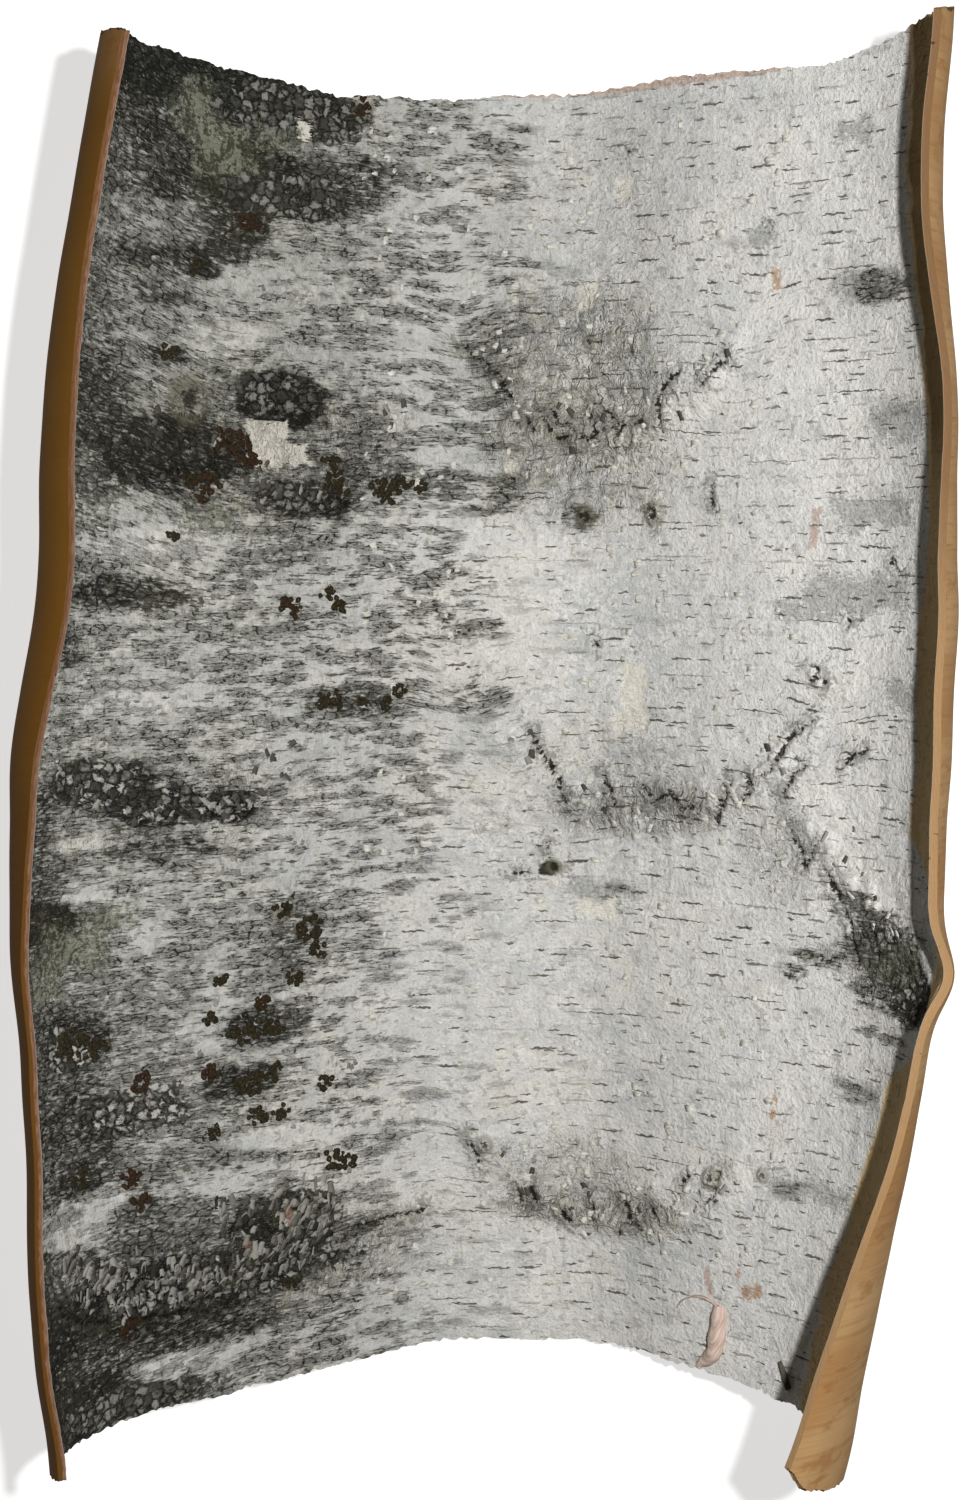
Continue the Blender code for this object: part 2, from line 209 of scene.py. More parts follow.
# Grey films with clear edges: s, y, half width, half height
FILMS = ((150, 56, 24, 7), (126, 50, 10, 3), (158, 87, 18, 6), (172, 119, 14, 7), (156, 170, 14, 5),
         (110, 190, 5, 4), (150, 224, 8, 4), (160, -129, 12, 4), (40, -64, 16, 4),
         (140, -170, 20, 3), (174, 20, 10, 5))
# Knots: s, y, radius
KNOTS = ((62, 87, 4.0), (32, 86, 3.5), (92, -172, 3.5), (116, -167, 2.5), (-137, 128, 7.0),
         (20, -54, 2.6), (-8, -168, 3.0), (34, 154, 2.5))
# Cream patches of fresh bark: s, y, half width, half height
CREAM = ((-103, 113, 8.5, 9), (-90, 109, 6, 5), (53, 17, 5, 11), (52, 5, 8, 3.5), (33, 172, 3.5, 5),
         (4, 106, 3.5, 3.5), (48, 212, 4, 4), (38, -70, 9, 3), (-88, 231, 3, 4))
# Green-grey crusts: s, y, half width, half height
CRUSTS = ((-138, 232, 9, 10), (-124, 220, 12, 9), (-100, 226, 8, 5), (-186, -74, 16, 8),
          (-200, -84, 9, 8), (-172, -66, 9, 5), (178, -78, 14, 8), (-128, 84, 10, 4))
# Small rust and pink marks: s, y, half width, half height, 1 for rust and 0 for pink
MARKS = ((110, -214, 2, 2.5, 1), (115, -212, 2, 3, 1), (106, -207, 1, 1.5, 1), (120, -137, 1, 2, 1),
         (119, -143, 1, 1.5, 1), (91, -211, 1.2, 3.5, 0), (93, -215, 1.2, 2.5, 0), (133, 86, 2, 3, 0),
         (132, 78, 1.4, 4, 0), (-95, -188, 1.6, 5, 0), (-114, -197, 2, 3, 0), (116, 174, 1.4, 3, 1))
# Dark leafy lichen rosettes: s, y, radius, 1 for a redder one
ROSETTES = (
    (-118, 113, 8, 1), (-110, 106, 5, 1), (-130, 96, 6, 1), (-136, 99, 3, 0), (-74, 106, 4, 0),
    (-73, 99, 5, 0), (-68, 95, 3, 0), (-49, 95, 6, 0), (-43, 98, 4, 0), (-34, 98, 3.5, 0),
    (-92, 51, 5, 1), (-74, 55, 3.5, 0), (-69, 51, 3, 0), (-73, 14, 6, 0), (-58, 13, 2.5, 0),
    (-48, 12, 3, 0), (-42, 17, 3, 0), (-95, -66, 4, 0), (-83, -75, 6, 0), (-80, -84, 4, 0),
    (-90, -94, 4, 0), (-104, -103, 4, 1), (-122, -92, 3, 0), (-127, -106, 3, 0), (-112, -112, 7, 0),
    (-99, -113, 4, 0), (-156, -128, 4.5, 1), (-127, -127, 3.5, 1), (-111, -134, 6, 0),
    (-101, -130, 5, 0), (-77, -137, 3.5, 0), (-108, -147, 4.5, 0), (-98, -146, 4, 0),
    (-127, -150, 3, 0), (-186, -108, 8, 0), (-176, -112, 5, 0), (-186, -159, 5, 0),
    (-164, -163, 4.5, 1), (-159, -172, 4, 1), (-73, -168, 5, 0), (-67, -170, 3.5, 0),
    (-111, 194, 5, 1), (-134, 177, 3.5, 0), (-146, 145, 4, 0), (-60, 243, 4, 1),
    (-142, 78, 3, 0), (-166, -218, 5, 1), (-94, -214, 3, 0),
)


def smooth(t):
    """An S-shaped ramp from 0 to 1."""
    t = np.clip(t, 0, 1)
    return t * t * (3 - 2 * t)


def through_stations(values, v):
    """A smooth curve through evenly spaced values, read at v from -1 to 1."""
    last = len(values) - 1
    place = (np.asarray(v) + 1) / 2 * last
    i = np.clip(np.floor(place).astype(int), 0, last - 1)
    t = place - i
    padded = np.concatenate([[2 * values[0] - values[1]], values, [2 * values[-1] - values[-2]]])
    a, b, c, d = (padded[i + k] for k in range(4))
    return b + t / 2 * (c - a + t * (2 * a - 5 * b + 4 * c - d + t * (3 * (b - c) + d - a)))


def end_to_end(values, v):
    """A parabola through the values at the lower end, the middle and the upper end."""
    low, middle, high = values
    return middle + (high - low) / 2 * v + ((low + high) / 2 - middle) * v**2


def wander(x, wave, seed):
    """Smooth random waves along a line, from -1 to 1."""
    levels = np.random.default_rng(seed).uniform(-1, 1, 256)
    place = np.asarray(x) / wave + 100
    i = np.floor(place).astype(int)
    t = smooth(place - i)
    return levels[i % 256] * (1 - t) + levels[(i + 1) % 256] * t


def between(grid, i, j, p, q):
    """Values of a grid that repeats, p and q of the way from its point i, j to the next ones."""
    rows, columns = grid.shape[:2]
    near, far = (
        grid[(i + d) % rows, j % columns] * (1 - q) + grid[(i + d) % rows, (j + 1) % columns] * q
        for d in (0, 1)
    )
    return near * (1 - p) + far * p


@functools.lru_cache(maxsize=None)
def random_levels(seed, size):
    """A square of random levels from -1 to 1."""
    return np.random.default_rng(seed).uniform(-1, 1, (size, size))


def swell(s, y, wave, seed, size=64):
    """Smooth random hills over the sheet, from -1 to 1."""
    levels = random_levels(seed, size)
    a, b = np.broadcast_arrays(s / wave + size // 2, y / wave + size // 2)
    i, j = np.floor(a).astype(int), np.floor(b).astype(int)
    return between(levels, i, j, smooth(a - i), smooth(b - j))


def hills(s, y, across, along, seed, octaves=4):
    """Random hills in several sizes, about -1 to 1, with their own width across and along."""
    total, weight = 0.0, 0.0
    for k in range(octaves):
        part = swell(s / across * 2**k, y / along * 2**k, 1.0, seed + 17 * k, 512)
        total = total + part / 1.7**k
        weight += 1 / 1.7**k
    return total / weight * 1.6


def shaken(s, y, reach, size, seed):
    """The places moved by random hills: how far, and the hills' sizes, across and along."""
    return (s + reach[0] * hills(s, y, *size[0], seed, 3),
            y + reach[1] * hills(s, y, *size[1], seed + 1, 3))


def grains(s, y, size, seed):
    """How much nearer the nearest of scattered points is than the next one, in cell sizes."""
    a, b = s / size, y / size
    i, j = np.floor(a).astype(int), np.floor(b).astype(int)
    jitter = np.random.default_rng(seed).uniform(0.1, 0.9, (512, 512, 3))
    first = np.full(a.shape, FAR_AWAY)
    second = np.full(a.shape, FAR_AWAY)
    for di in (-1, 0, 1):
        for dj in (-1, 0, 1):
            at = jitter[(i + di) % 512, (j + dj) % 512]
            far = np.hypot(i + di + at[..., 0] - a, j + dj + at[..., 1] - b)
            second = np.minimum(second, np.maximum(first, far))
            first = np.minimum(first, far)
    return second - first


# ---- The shape of the sheet ----


def knee(v):
    """1 at the knee of the right wall, and 0 away from it."""
    return np.exp(-(((v - KNEE_AT) / KNEE_WIDTH) ** 2))


def arc_to_rim(v):
    """The arc from the bottom line to the left and the right rim."""
    y = v * LENGTH / 2
    left = through_stations(ARC_LEFT, v) + RIM_WANDER * wander(y, RIM_WAVE, SEED)
    right = through_stations(ARC_RIGHT, v) + RIM_WANDER * wander(y, RIM_WAVE, SEED + 1)
    return left, right + KNEE_ARC * knee(v)


def half_section(arc, wall, rim, lip):
    """One side of a cross-section: distance out, height and slope at each step to the rim."""
    s = np.linspace(0, 1, STEPS_TO_RIM + 1) * arc
    rounding = np.clip((s - FLAT_HALF_WIDTH) / (ROUNDING - FLAT_HALF_WIDTH), 0, 1)
    curl = np.clip((s - (arc - lip)) / lip, 0, 1) ** LIP_POWER
    slope = wall * np.sin(rounding * math.pi / 2) + (rim - wall) * curl
    middle = (slope[1:] + slope[:-1]) / 2
    step = arc / STEPS_TO_RIM
    out = np.concatenate([[0], np.cumsum(np.cos(middle) * step)])
    up = np.concatenate([[0], np.cumsum(np.sin(middle) * step)])
    return s, out, up, slope


def sections(v, u):
    """Arc, x, height and slope of the white side, at u from rim to rim in each station v."""
    arcs = arc_to_rim(v)
    rims = through_stations(RIM_LEFT, v), through_stations(RIM_RIGHT, v) + KNEE_TURN * knee(v)
    walls = end_to_end(WALL_LEFT, v), end_to_end(WALL_RIGHT, v)
    lips = end_to_end(LIP_LEFT, v), end_to_end(LIP_RIGHT, v)
    found = np.empty((4, len(u), len(v)))
    for side, way in enumerate((-1, 1)):
        there = u * way >= 0
        for k in range(len(v)):
            s, out, up, slope = half_section(
                arcs[side][k], walls[side][k], rims[side][k], lips[side][k]
            )
            at = np.abs(u[there]) * arcs[side][k]
            found[0, there, k] = way * at
            found[1, there, k] = way * np.interp(at, s, out)
            found[2, there, k] = np.interp(at, s, up)
            found[3, there, k] = way * np.interp(at, s, slope)
    return found


def along(u, v, s):
    """y of each point: the length, with the cut ends' own outlines near the ends."""
    top = np.interp(u, TOP_PLACES, TOP_CUT)[:, None]
    bottom = np.interp(u, BOTTOM_PLACES, BOTTOM_CUT)[:, None]
    top = top + RAGGED * wander(s, RAGGED_WAVE, SEED + 2)
    bottom = bottom + RAGGED * wander(s, RAGGED_WAVE, SEED + 3)
    # Frayed inwards at the very ends
    fray = sum(size * np.abs(wander(s, wave, seed)) for size, wave, seed in FRAYS)
    top = top - fray * ((1 + v[None]) / 2) ** 30
    bottom = bottom - fray[::-1] * ((1 - v[None]) / 2) ** 30
    return (
        v[None] * LENGTH / 2
        + top * ((1 + v[None]) / 2) ** CUT_REACH
        - bottom * ((1 - v[None]) / 2) ** CUT_REACH
    )


def clear_of_flat(s, y):
    """0 on the flat spot and 1 away from it."""
    across = (np.abs(s) - FLAT_HALF_WIDTH) / ROUNDING
    length = (np.abs(y - FLAT_MIDDLE_Y) - FLAT_HALF_LENGTH) / ROUNDING
    return smooth(np.maximum(across, length))


def scar_relief(s, y):
    """Branch scars: a rough ridge in the shape of a drooping moustache, swollen inside."""
    height = np.zeros_like(s)
    for middle, lowest, half_width, rise in SCARS:
        across = (s - middle) / half_width
        arm = lowest + rise * np.abs(across) ** SCAR_POWER
        inside = smooth((1.15 - np.abs(across)) / 0.3)
        ridge = np.exp(-(((y - arm) / SCAR_WIDTH) ** 2))
        belly = smooth((y - arm) / (2 * SCAR_WIDTH)) * smooth((lowest + 1.5 * rise - y) / rise)
        height += inside * (SCAR_HEIGHT * ridge + SCAR_BELLY * belly)
    return height


def scar_flow(s, y):
    """How far the grain of the bark is drawn down around the scars, in mm along the sheet."""
    drawn = np.zeros_like(s)
    for middle, lowest, half_width, rise in SCARS[:3]:
        across = (s - middle) / half_width
        arm = rise * np.abs(across) ** SCAR_POWER
        near = np.exp(-(((y - lowest - arm) / 26) ** 2)) * smooth((1.5 - np.abs(across)) / 0.6)
        drawn += near * (arm - rise * 0.5)
    upper = smooth((-105 - s) / 60) * smooth((y - 20) / 90) * 0.2
    lower = smooth((-90 - s) / 60) * smooth((-160 - y) / 60) * -0.1
    return drawn * 0.24 + (upper + lower) * (s + 100)


def painted(s, y, level, spots, edge=0.55):
    """level with spots painted over it: each is s, y, half width, half height, its level."""
    a, b = shaken(s, y, (3.5, 2.2), ((14, 8), (14, 6)), 91)
    for s0, y0, half_width, half_height, new in spots:
        far = np.hypot((a - s0) / half_width, (b - y0) / half_height)
        cover = smooth((1 + edge / 2 - far) / edge)
        level = level + (new - level) * cover
    return level


def base_level(s, y):
    """How weathered the bark is before the single patches."""
    return np.interp(s + 12 * hills(s, y, 60, 18, 90, 3), WEATHER_PLACES, WEATHER_LEVEL)


def box_distance(s, y, spots, wobble):
    """Signed distance in mm to the nearest of some rounded boxes, negative inside."""
    a, b = shaken(s, y, (wobble, wobble), ((5, 5), (5, 5)), 93)
    best = np.full(s.shape, FAR_AWAY)
    for spot in spots:
        dx = np.abs(a - spot[0]) - spot[2]
        dy = np.abs(b - spot[1]) - spot[3]
        far = np.hypot(np.maximum(dx, 0), np.maximum(dy, 0)) + np.minimum(np.maximum(dx, dy), 0)
        best = np.minimum(best, far)
    return best


def stroke_distance(s, y):
    """Distance in mm to the edge of the nearest dark stroke, negative inside."""
    a, b = shaken(s, y, (0.9, 0.9), ((4, 4), (4, 4)), 95)
    best = np.full(s.shape, FAR_AWAY)
    for width, *flat in STROKES:
        points = np.array(flat, float).reshape(-1, 2)
        low, high = points.min(0) - 10, points.max(0) + 10
        near = (a > low[0]) & (a < high[0]) & (b > low[1]) & (b < high[1])
        p = np.stack([a[near], b[near]], -1)
        nearest = np.full(len(p), 99.0)
        steps = len(points) - 1
        for k in range(steps):
            start, way = points[k], points[k + 1] - points[k]
            t = np.clip((p - start) @ way / (way @ way), 0, 1)
            thin = 1 - 0.75 * np.abs(2 * (k + t) / steps - 1) ** 2
            far = np.hypot(*(p - start - t[:, None] * way).T) - width / 2 * thin
            nearest = np.minimum(nearest, far)
        best[near] = np.minimum(best[near], nearest)
    return best


def knot_distance(s, y):
    """Distance from the nearest knot, in its radii."""
    best = np.full(s.shape, FAR_AWAY)
    for s0, y0, radius in KNOTS:
        best = np.minimum(best, np.hypot(s - s0, (y - y0) * 0.9) / radius)
    return best


def lens_patches():
    """Lens-shaped dark patches as mm inside their edge, on a canvas of the sheet."""
    canvas = np.full((CANVAS_STEPS, CANVAS_STEPS), -4.0)
    rng_ = np.random.default_rng(5)
    for across, along_, share in ((19, 5.0, 1.0), (13, 3.8, 0.9), (8, 2.8, 0.8)):
        s0, y0 = np.meshgrid(np.arange(-262, 262, across), np.arange(-272, 272, along_))
        s0 = s0 + rng_.uniform(-0.5, 0.5, s0.shape) * across
        y0 = y0 + rng_.uniform(-0.4, 0.4, s0.shape) * along_
        here = painted(s0, y0, base_level(s0, y0), PATCHES)
        kept = rng_.uniform(0, 1, s0.shape) < share * smooth((here + 0.02) / 0.92)
        half = across * rng_.uniform(0.38, 0.74, s0.shape)
        high = along_ * rng_.uniform(0.26, 0.6, s0.shape)
        for s1, y1, a, b in zip(s0[kept], y0[kept], half[kept], high[kept]):
            i, j = (
                np.arange(*(int((end + CANVAS_REACH) / CANVAS_CELL) + k
                            for k, end in enumerate((middle - reach, middle + reach))))
                for middle, reach in ((s1, a * 1.4), (y1, b * 2.5))
            )
            dx = (i * CANVAS_CELL - CANVAS_REACH - s1)[:, None] / a
            inside = b * (1 - dx**2) - np.abs(j * CANVAS_CELL - CANVAS_REACH - y1)[None]
            part = canvas[i[0]:i[-1] + 1, j[0]:j[-1] + 1]
            part[:] = np.maximum(part, inside)
    return canvas


LENSES = lens_patches()


def on_canvas(canvas, s, y):
    """Values of the canvas at places on the sheet."""
    a, b = (s + CANVAS_REACH) / CANVAS_CELL, (y + CANVAS_REACH) / CANVAS_CELL
    i, j = np.floor(a).astype(int), np.floor(b).astype(int)
    return between(canvas, i, j, a - i, b - j)


def surface_maps(s, y):
    """Everything that the white side's relief and colour share, at each point."""
    flow = scar_flow(s, y)
    maps = {
        "weathered": painted(s, y, base_level(s, y), PATCHES),
        "grainy": painted(s, y, np.zeros_like(s), [(*spot, 1.0) for spot in GRAINS]),
        "rough": painted(s, y, np.full(s.shape, 0.12), ROUGH, 0.9),
        "stroke": stroke_distance(s, y),
        "knot": knot_distance(s, y),
        "flow": flow,
        "lens": on_canvas(LENSES, s, y + flow),
    }
    rust, pink = ([mark for mark in MARKS if mark[4] == kind] for kind in (1, 0))
    for key, spots, wobble in (("cream", CREAM, 1.6), ("crust", CRUSTS, 4.0), ("rust", rust, 1.0),
                               ("pink", pink, 1.0), ("film", FILMS, 3.0)):
        maps[key] = box_distance(s, y, spots, wobble)
    return maps


def white_relief(s, y, maps):
    """How far the white side stands out from the smooth sheet, in mm."""
    weathered = smooth((WEATHERED_EDGE - s) / WEATHERED_BLEND)
    height = scar_relief(s, y) * (0.8 + 0.35 * hills(s, y, 6, 9, 31, 3))
    height += weathered * PLATE_HEIGHT * swell(s, y, PLATE_WAVE, SEED + 5)
    level, rough = maps["weathered"], maps["rough"]
    # Papery layers end in small steps
    layers = hills(s, y + maps["flow"], 16, 9, 32, 4) * 5
    step = layers - np.floor(layers)
    height += 0.35 * ((np.floor(layers) + smooth(step / 0.16)) / 5)
    # Plates of the weathered part, with cracks between them
    crack = smooth((0.28 - grains(s / 2.1, y + maps["flow"], 3.2, 33)) / 0.28)
    height -= 0.55 * crack * smooth((level - 0.3) / 0.4)
    height += 0.35 * smooth((level - 0.35) / 0.3) * hills(s, y, 4, 3, 34, 3)
    # Round grains
    dome = grains(s + hills(s, y, 7, 7, 97, 2), 1.15 * y + hills(s, y, 7, 7, 98, 2), 4.3, 35)
    height += maps["grainy"] * 0.5 * (smooth(dome / 0.45) - 0.5)
    # Rough papery curls
    height += 0.5 * rough * hills(s, y, 3.4, 5, 36, 3)
    # Strokes are sunk, with a raised lip beside them
    stroke = maps["stroke"]
    height = height - 1.0 * smooth((0.8 - stroke) / 1.4) + 0.45 * np.exp(-(((stroke - 1.8) / 1.0) ** 2))
    knot = maps["knot"]
    height = height + 1.3 * smooth((1.3 - knot) / 0.9) - 1.2 * smooth((0.55 - knot) / 0.4)
    cream = smooth((0.6 - maps["cream"]) / 1.0)
    height = height * (1 - 0.6 * cream) - 0.35 * cream
    return height


def sheet(u, v):
    """Positions in mm of the white and the tan side, the outward way, s, y and the maps."""
    s, x, up, slope = sections(v, u)
    y = along(u, v, s)
    away = clear_of_flat(s, y)
    rise = ROCKER * smooth((np.abs(y - FLAT_MIDDLE_Y) - FLAT_HALF_LENGTH) / (LENGTH / 2)) ** 2
    shared = SHEET_SWELL * away * swell(s, y, SHEET_WAVE, SEED + 4)
    inward = np.stack([-np.sin(slope), np.zeros_like(s), np.cos(slope)], -1)
    smooth_side = np.stack([x + BOTTOM_LINE_X, y + MIDDLE_Y, up + rise + THICKNESS], -1)
    tan_side = smooth_side + inward * (shared - THICKNESS)[..., None]
    tan_side[..., 2] = np.maximum(tan_side[..., 2], 0)
    maps = surface_maps(s, y)
    # The relief fades out at the cut edges, where the sheet is broken off clean
    edge_u = (1 - np.abs(u[:, None])) * TO_RIM
    edge_v = (1 - np.abs(v[None])) * TO_END
    fade = 0.25 + 0.75 * smooth(np.minimum(edge_u, edge_v) / RELIEF_FADE)
    white_side = smooth_side + inward * (shared + fade * white_relief(s, y, maps))[..., None]
    return white_side, tan_side, inward, s, y, maps


# ---- Meshes ----

LOW = np.array(cad_low) * 1000
HIGH = np.array(cad_high) * 1000
# The two blocks of a strip's flat map, and the space that stays free beside them
MARGIN, BLOCK_WIDTH, BLOCK_HEIGHT = 0.01, 0.475, 0.98


def make_object(name, points, faces, material, normals=None, attributes=None, bake=None):
    """A mesh piece from points in mm, quads or triangles, and values for each point."""
    points = np.clip(np.asarray(points, float), LOW, HIGH) / 1000
    faces = np.asarray(faces)
    mesh = bpy.data.meshes.new(name)
    mesh.vertices.add(len(points))
    mesh.vertices.foreach_set("co", points.astype(np.float32).ravel())
    mesh.loops.add(faces.size)
    mesh.loops.foreach_set("vertex_index", faces.astype(np.int32).ravel())
    mesh.polygons.add(len(faces))
    mesh.polygons.foreach_set("loop_start", np.arange(0, faces.size, faces.shape[1], dtype=np.int32))
    mesh.update(calc_edges=True)
    mesh.validate()
    mesh.shade_smooth()
    for key, values in (attributes or {}).items():
        values = np.asarray(values, np.float32)
        if values.ndim == 2:
            mesh.attributes.new(key, "FLOAT_VECTOR", "POINT").data.foreach_set("vector", values.ravel())
        else:
            mesh.attributes.new(key, "FLOAT", "POINT").data.foreach_set("value", values)
    if bake is not None:
        layer = mesh.uv_layers.new(name="OFBake")
        layer.data.foreach_set("uv", np.asarray(bake, np.float32).ravel())
    if normals is not None:
        mesh.normals_split_custom_set_from_vertices([tuple(n) for n in normals])
    mesh.materials.append(material)
    obj = bpy.data.objects.new(name, mesh)
    bpy.context.scene.collection.objects.link(obj)
    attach(obj, "root")
    return obj


def grid_normals(points, flip=1):
    """Smooth normals of a grid of points, for seams that don't show."""
    across = np.gradient(points, axis=0)
    along_ = np.gradient(points, axis=1)
    normal = np.cross(across, along_) * flip
    return normal / np.linalg.norm(normal, axis=-1, keepdims=True)


def grid_quads(columns, rows):
    """The quads of a grid of points, and the column and row of each."""
    i, j = np.meshgrid(np.arange(columns), np.arange(rows), indexing="ij")
    a = (i * (rows + 1) + j).ravel()
    return np.stack([a, a + rows + 1, a + rows + 2, a + 1], -1), i.ravel(), j.ravel()


def bands(count, rings):
    """The quads between closed rings of count points, one ring after the other."""
    a = np.arange(count)
    b = (a + 1) % count
    return np.concatenate([
        np.stack([a + k * count, b + k * count, b + (k + 1) * count, a + (k + 1) * count], -1)
        for k in range(rings)
    ])


def folded_map(columns, rows, i, j):
    """A flat map of a long strip, cut in two blocks side by side so that it fills the square."""
    half = rows // 2
    upper = j >= half
    uv = np.empty((len(i), 4, 2))
    for k, (di, dj) in enumerate(((0, 0), (1, 0), (1, 1), (0, 1))):
        left = MARGIN + np.where(upper, BLOCK_WIDTH + 3 * MARGIN, 0)
        uv[:, k, 0] = left + BLOCK_WIDTH * (i + di) / columns
        uv[:, k, 1] = MARGIN + BLOCK_HEIGHT * (j + dj - np.where(upper, half, 0)) / (rows - half)
    return uv


# ---- Materials ----


class Look:
    """Short calls for the nodes of one material, and its colour as it is built up."""

    def __init__(self, name, roughness, specular):
        self.material = bpy.data.materials.new(name)
        self.material.use_nodes = True
        self.nodes = self.material.node_tree.nodes
        self.links = self.material.node_tree.links
        self.shader = self.nodes["Principled BSDF"]
        self.shader.inputs["Roughness"].default_value = roughness
        self.shader.inputs["Specular IOR Level"].default_value = specular
        self.colour = None

    def put(self, socket, value):
        if isinstance(value, bpy.types.NodeSocket):
            self.links.new(value, socket)
        elif isinstance(value, tuple) and len(value) == 3 and len(socket.default_value) == 4:
            socket.default_value = (*value, 1)
        else:
            socket.default_value = value

    def node(self, kind, inputs, **settings):
        made = self.nodes.new("ShaderNode" + kind)
        for key, value in settings.items():
            setattr(made, key, value)
        for key, value in inputs.items():
            self.put(made.inputs[key], value)
        return made

    def read(self, name, vector=False):
        made = self.node("Attribute", {}, attribute_name=name)
        return made.outputs["Vector" if vector else "Fac"]

    def parts(self, value, kind="XYZ"):
        return self.node("Separate" + kind, {0: value}).outputs

    def math(self, operation, *values):
        return self.node("Math", dict(enumerate(values)), operation=operation).outputs[0]

    def add(self, *values):
        return functools.reduce(functools.partial(self.math, "ADD"), values)

    def times(self, *values):
        return functools.reduce(functools.partial(self.math, "MULTIPLY"), values)

    def most(self, *values):
        return functools.reduce(functools.partial(self.math, "MAXIMUM"), values)

    def centred(self, value, amount):
        """amount times (value - 0.5)."""
        return self.math("MULTIPLY_ADD", value, amount, -amount / 2)

    def frayed(self, value, *waves):
        """A value with noises added to it, each given as (noise, amount)."""
        return self.add(value, *(self.centred(*wave) for wave in waves))

    def ramp(self, value, low, high, to_low=0.0, to_high=1.0):
        """An S-shaped ramp from to_low at low to to_high at high."""
        levels = {"From Min": low, "From Max": high, "To Min": to_low, "To Max": to_high}
        return self.node("MapRange", {"Value": value, **levels}, interpolation_type="SMOOTHSTEP").outputs[0]

    def fall(self, value, low, high, top=1.0):
        return self.ramp(value, low, high, top, 0.0)

    def vector(self, operation, a, b):
        return self.node("VectorMath", {0: a, 1: b}, operation=operation).outputs[0]

    def moved(self, place, across, along_=0.0):
        return self.vector("ADD", place, self.node("CombineXYZ", {0: across, 1: along_}).outputs[0])

    def stretched(self, place, across, along_, shift=0.0):
        """The place on the sheet in cells of this size in mm."""
        scaled = self.vector("MULTIPLY", place, (1 / across, 1 / along_, 1.0))
        return self.vector("ADD", scaled, (shift, shift * 1.7, 0.0))

    def noise(self, place, across, along_, detail=2.0, rough=0.5, shift=0.0, twist=0.0, output=0):
        inputs = {"Vector": self.stretched(place, across, along_, shift), "Scale": 1.0,
                  "Detail": detail, "Roughness": rough, "Distortion": twist}
        return self.node("TexNoise", inputs, noise_dimensions="2D").outputs[output]

    def cells(self, place, across, along_, shift, **settings):
        inputs = {"Vector": self.stretched(place, across, along_, shift), "Scale": 1.0}
        return self.node("TexVoronoi", inputs, voronoi_dimensions="2D", **settings).outputs

    def mix(self, factor, a, b):
        return self.node("Mix", {0: factor, 6: a, 7: b}, data_type="RGBA").outputs[2]

    def coat(self, cover, paint):
        """Covers the colour so far with another one, as far as cover says."""
        self.colour = self.mix(cover, self.colour, paint)

    def dashes(self, place, bend, across, along_, length, width, share, shift):
        """Short dark dashes across the sheet, one in some cells: 1 on a dash and 0 off it."""
        made = self.cells(place, across, along_, shift)
        inside = self.vector("SUBTRACT", self.stretched(place, across, along_, shift), made["Position"])
        split = self.parts(self.vector("MULTIPLY", inside, (across, along_, 0.0)))
        chance = self.parts(made["Color"], "Color")
        down = self.math("ABSOLUTE", self.add(split[1], bend))
        size = self.ramp(chance[0], 0.0, 1.0, 0.45, 1.1)
        far = self.math("DIVIDE", self.math("ABSOLUTE", split[0]), self.times(size, length / 2))
        taper = self.math("SUBTRACT", 1.0, self.math("POWER", far, 3.0))
        thick = self.times(self.most(taper, 0.001), width / 2)
        line = self.fall(self.math("DIVIDE", down, thick), 0.7, 1.5)
        kept = self.ramp(chance[1], 1 - share - 0.01, 1 - share + 0.01)
        kept = self.times(kept, self.ramp(chance[2], 0.0, 0.8, 0.35, 1.0))
        return self.times(line, self.fall(far, 0.9, 1.0), kept)

    def finish(self, height, strength, distance):
        self.put(self.shader.inputs["Base Color"], self.colour)
        bump = self.node("Bump", {"Height": height, "Strength": strength, "Distance": distance})
        self.links.new(bump.outputs[0], self.shader.inputs["Normal"])
        return self.material


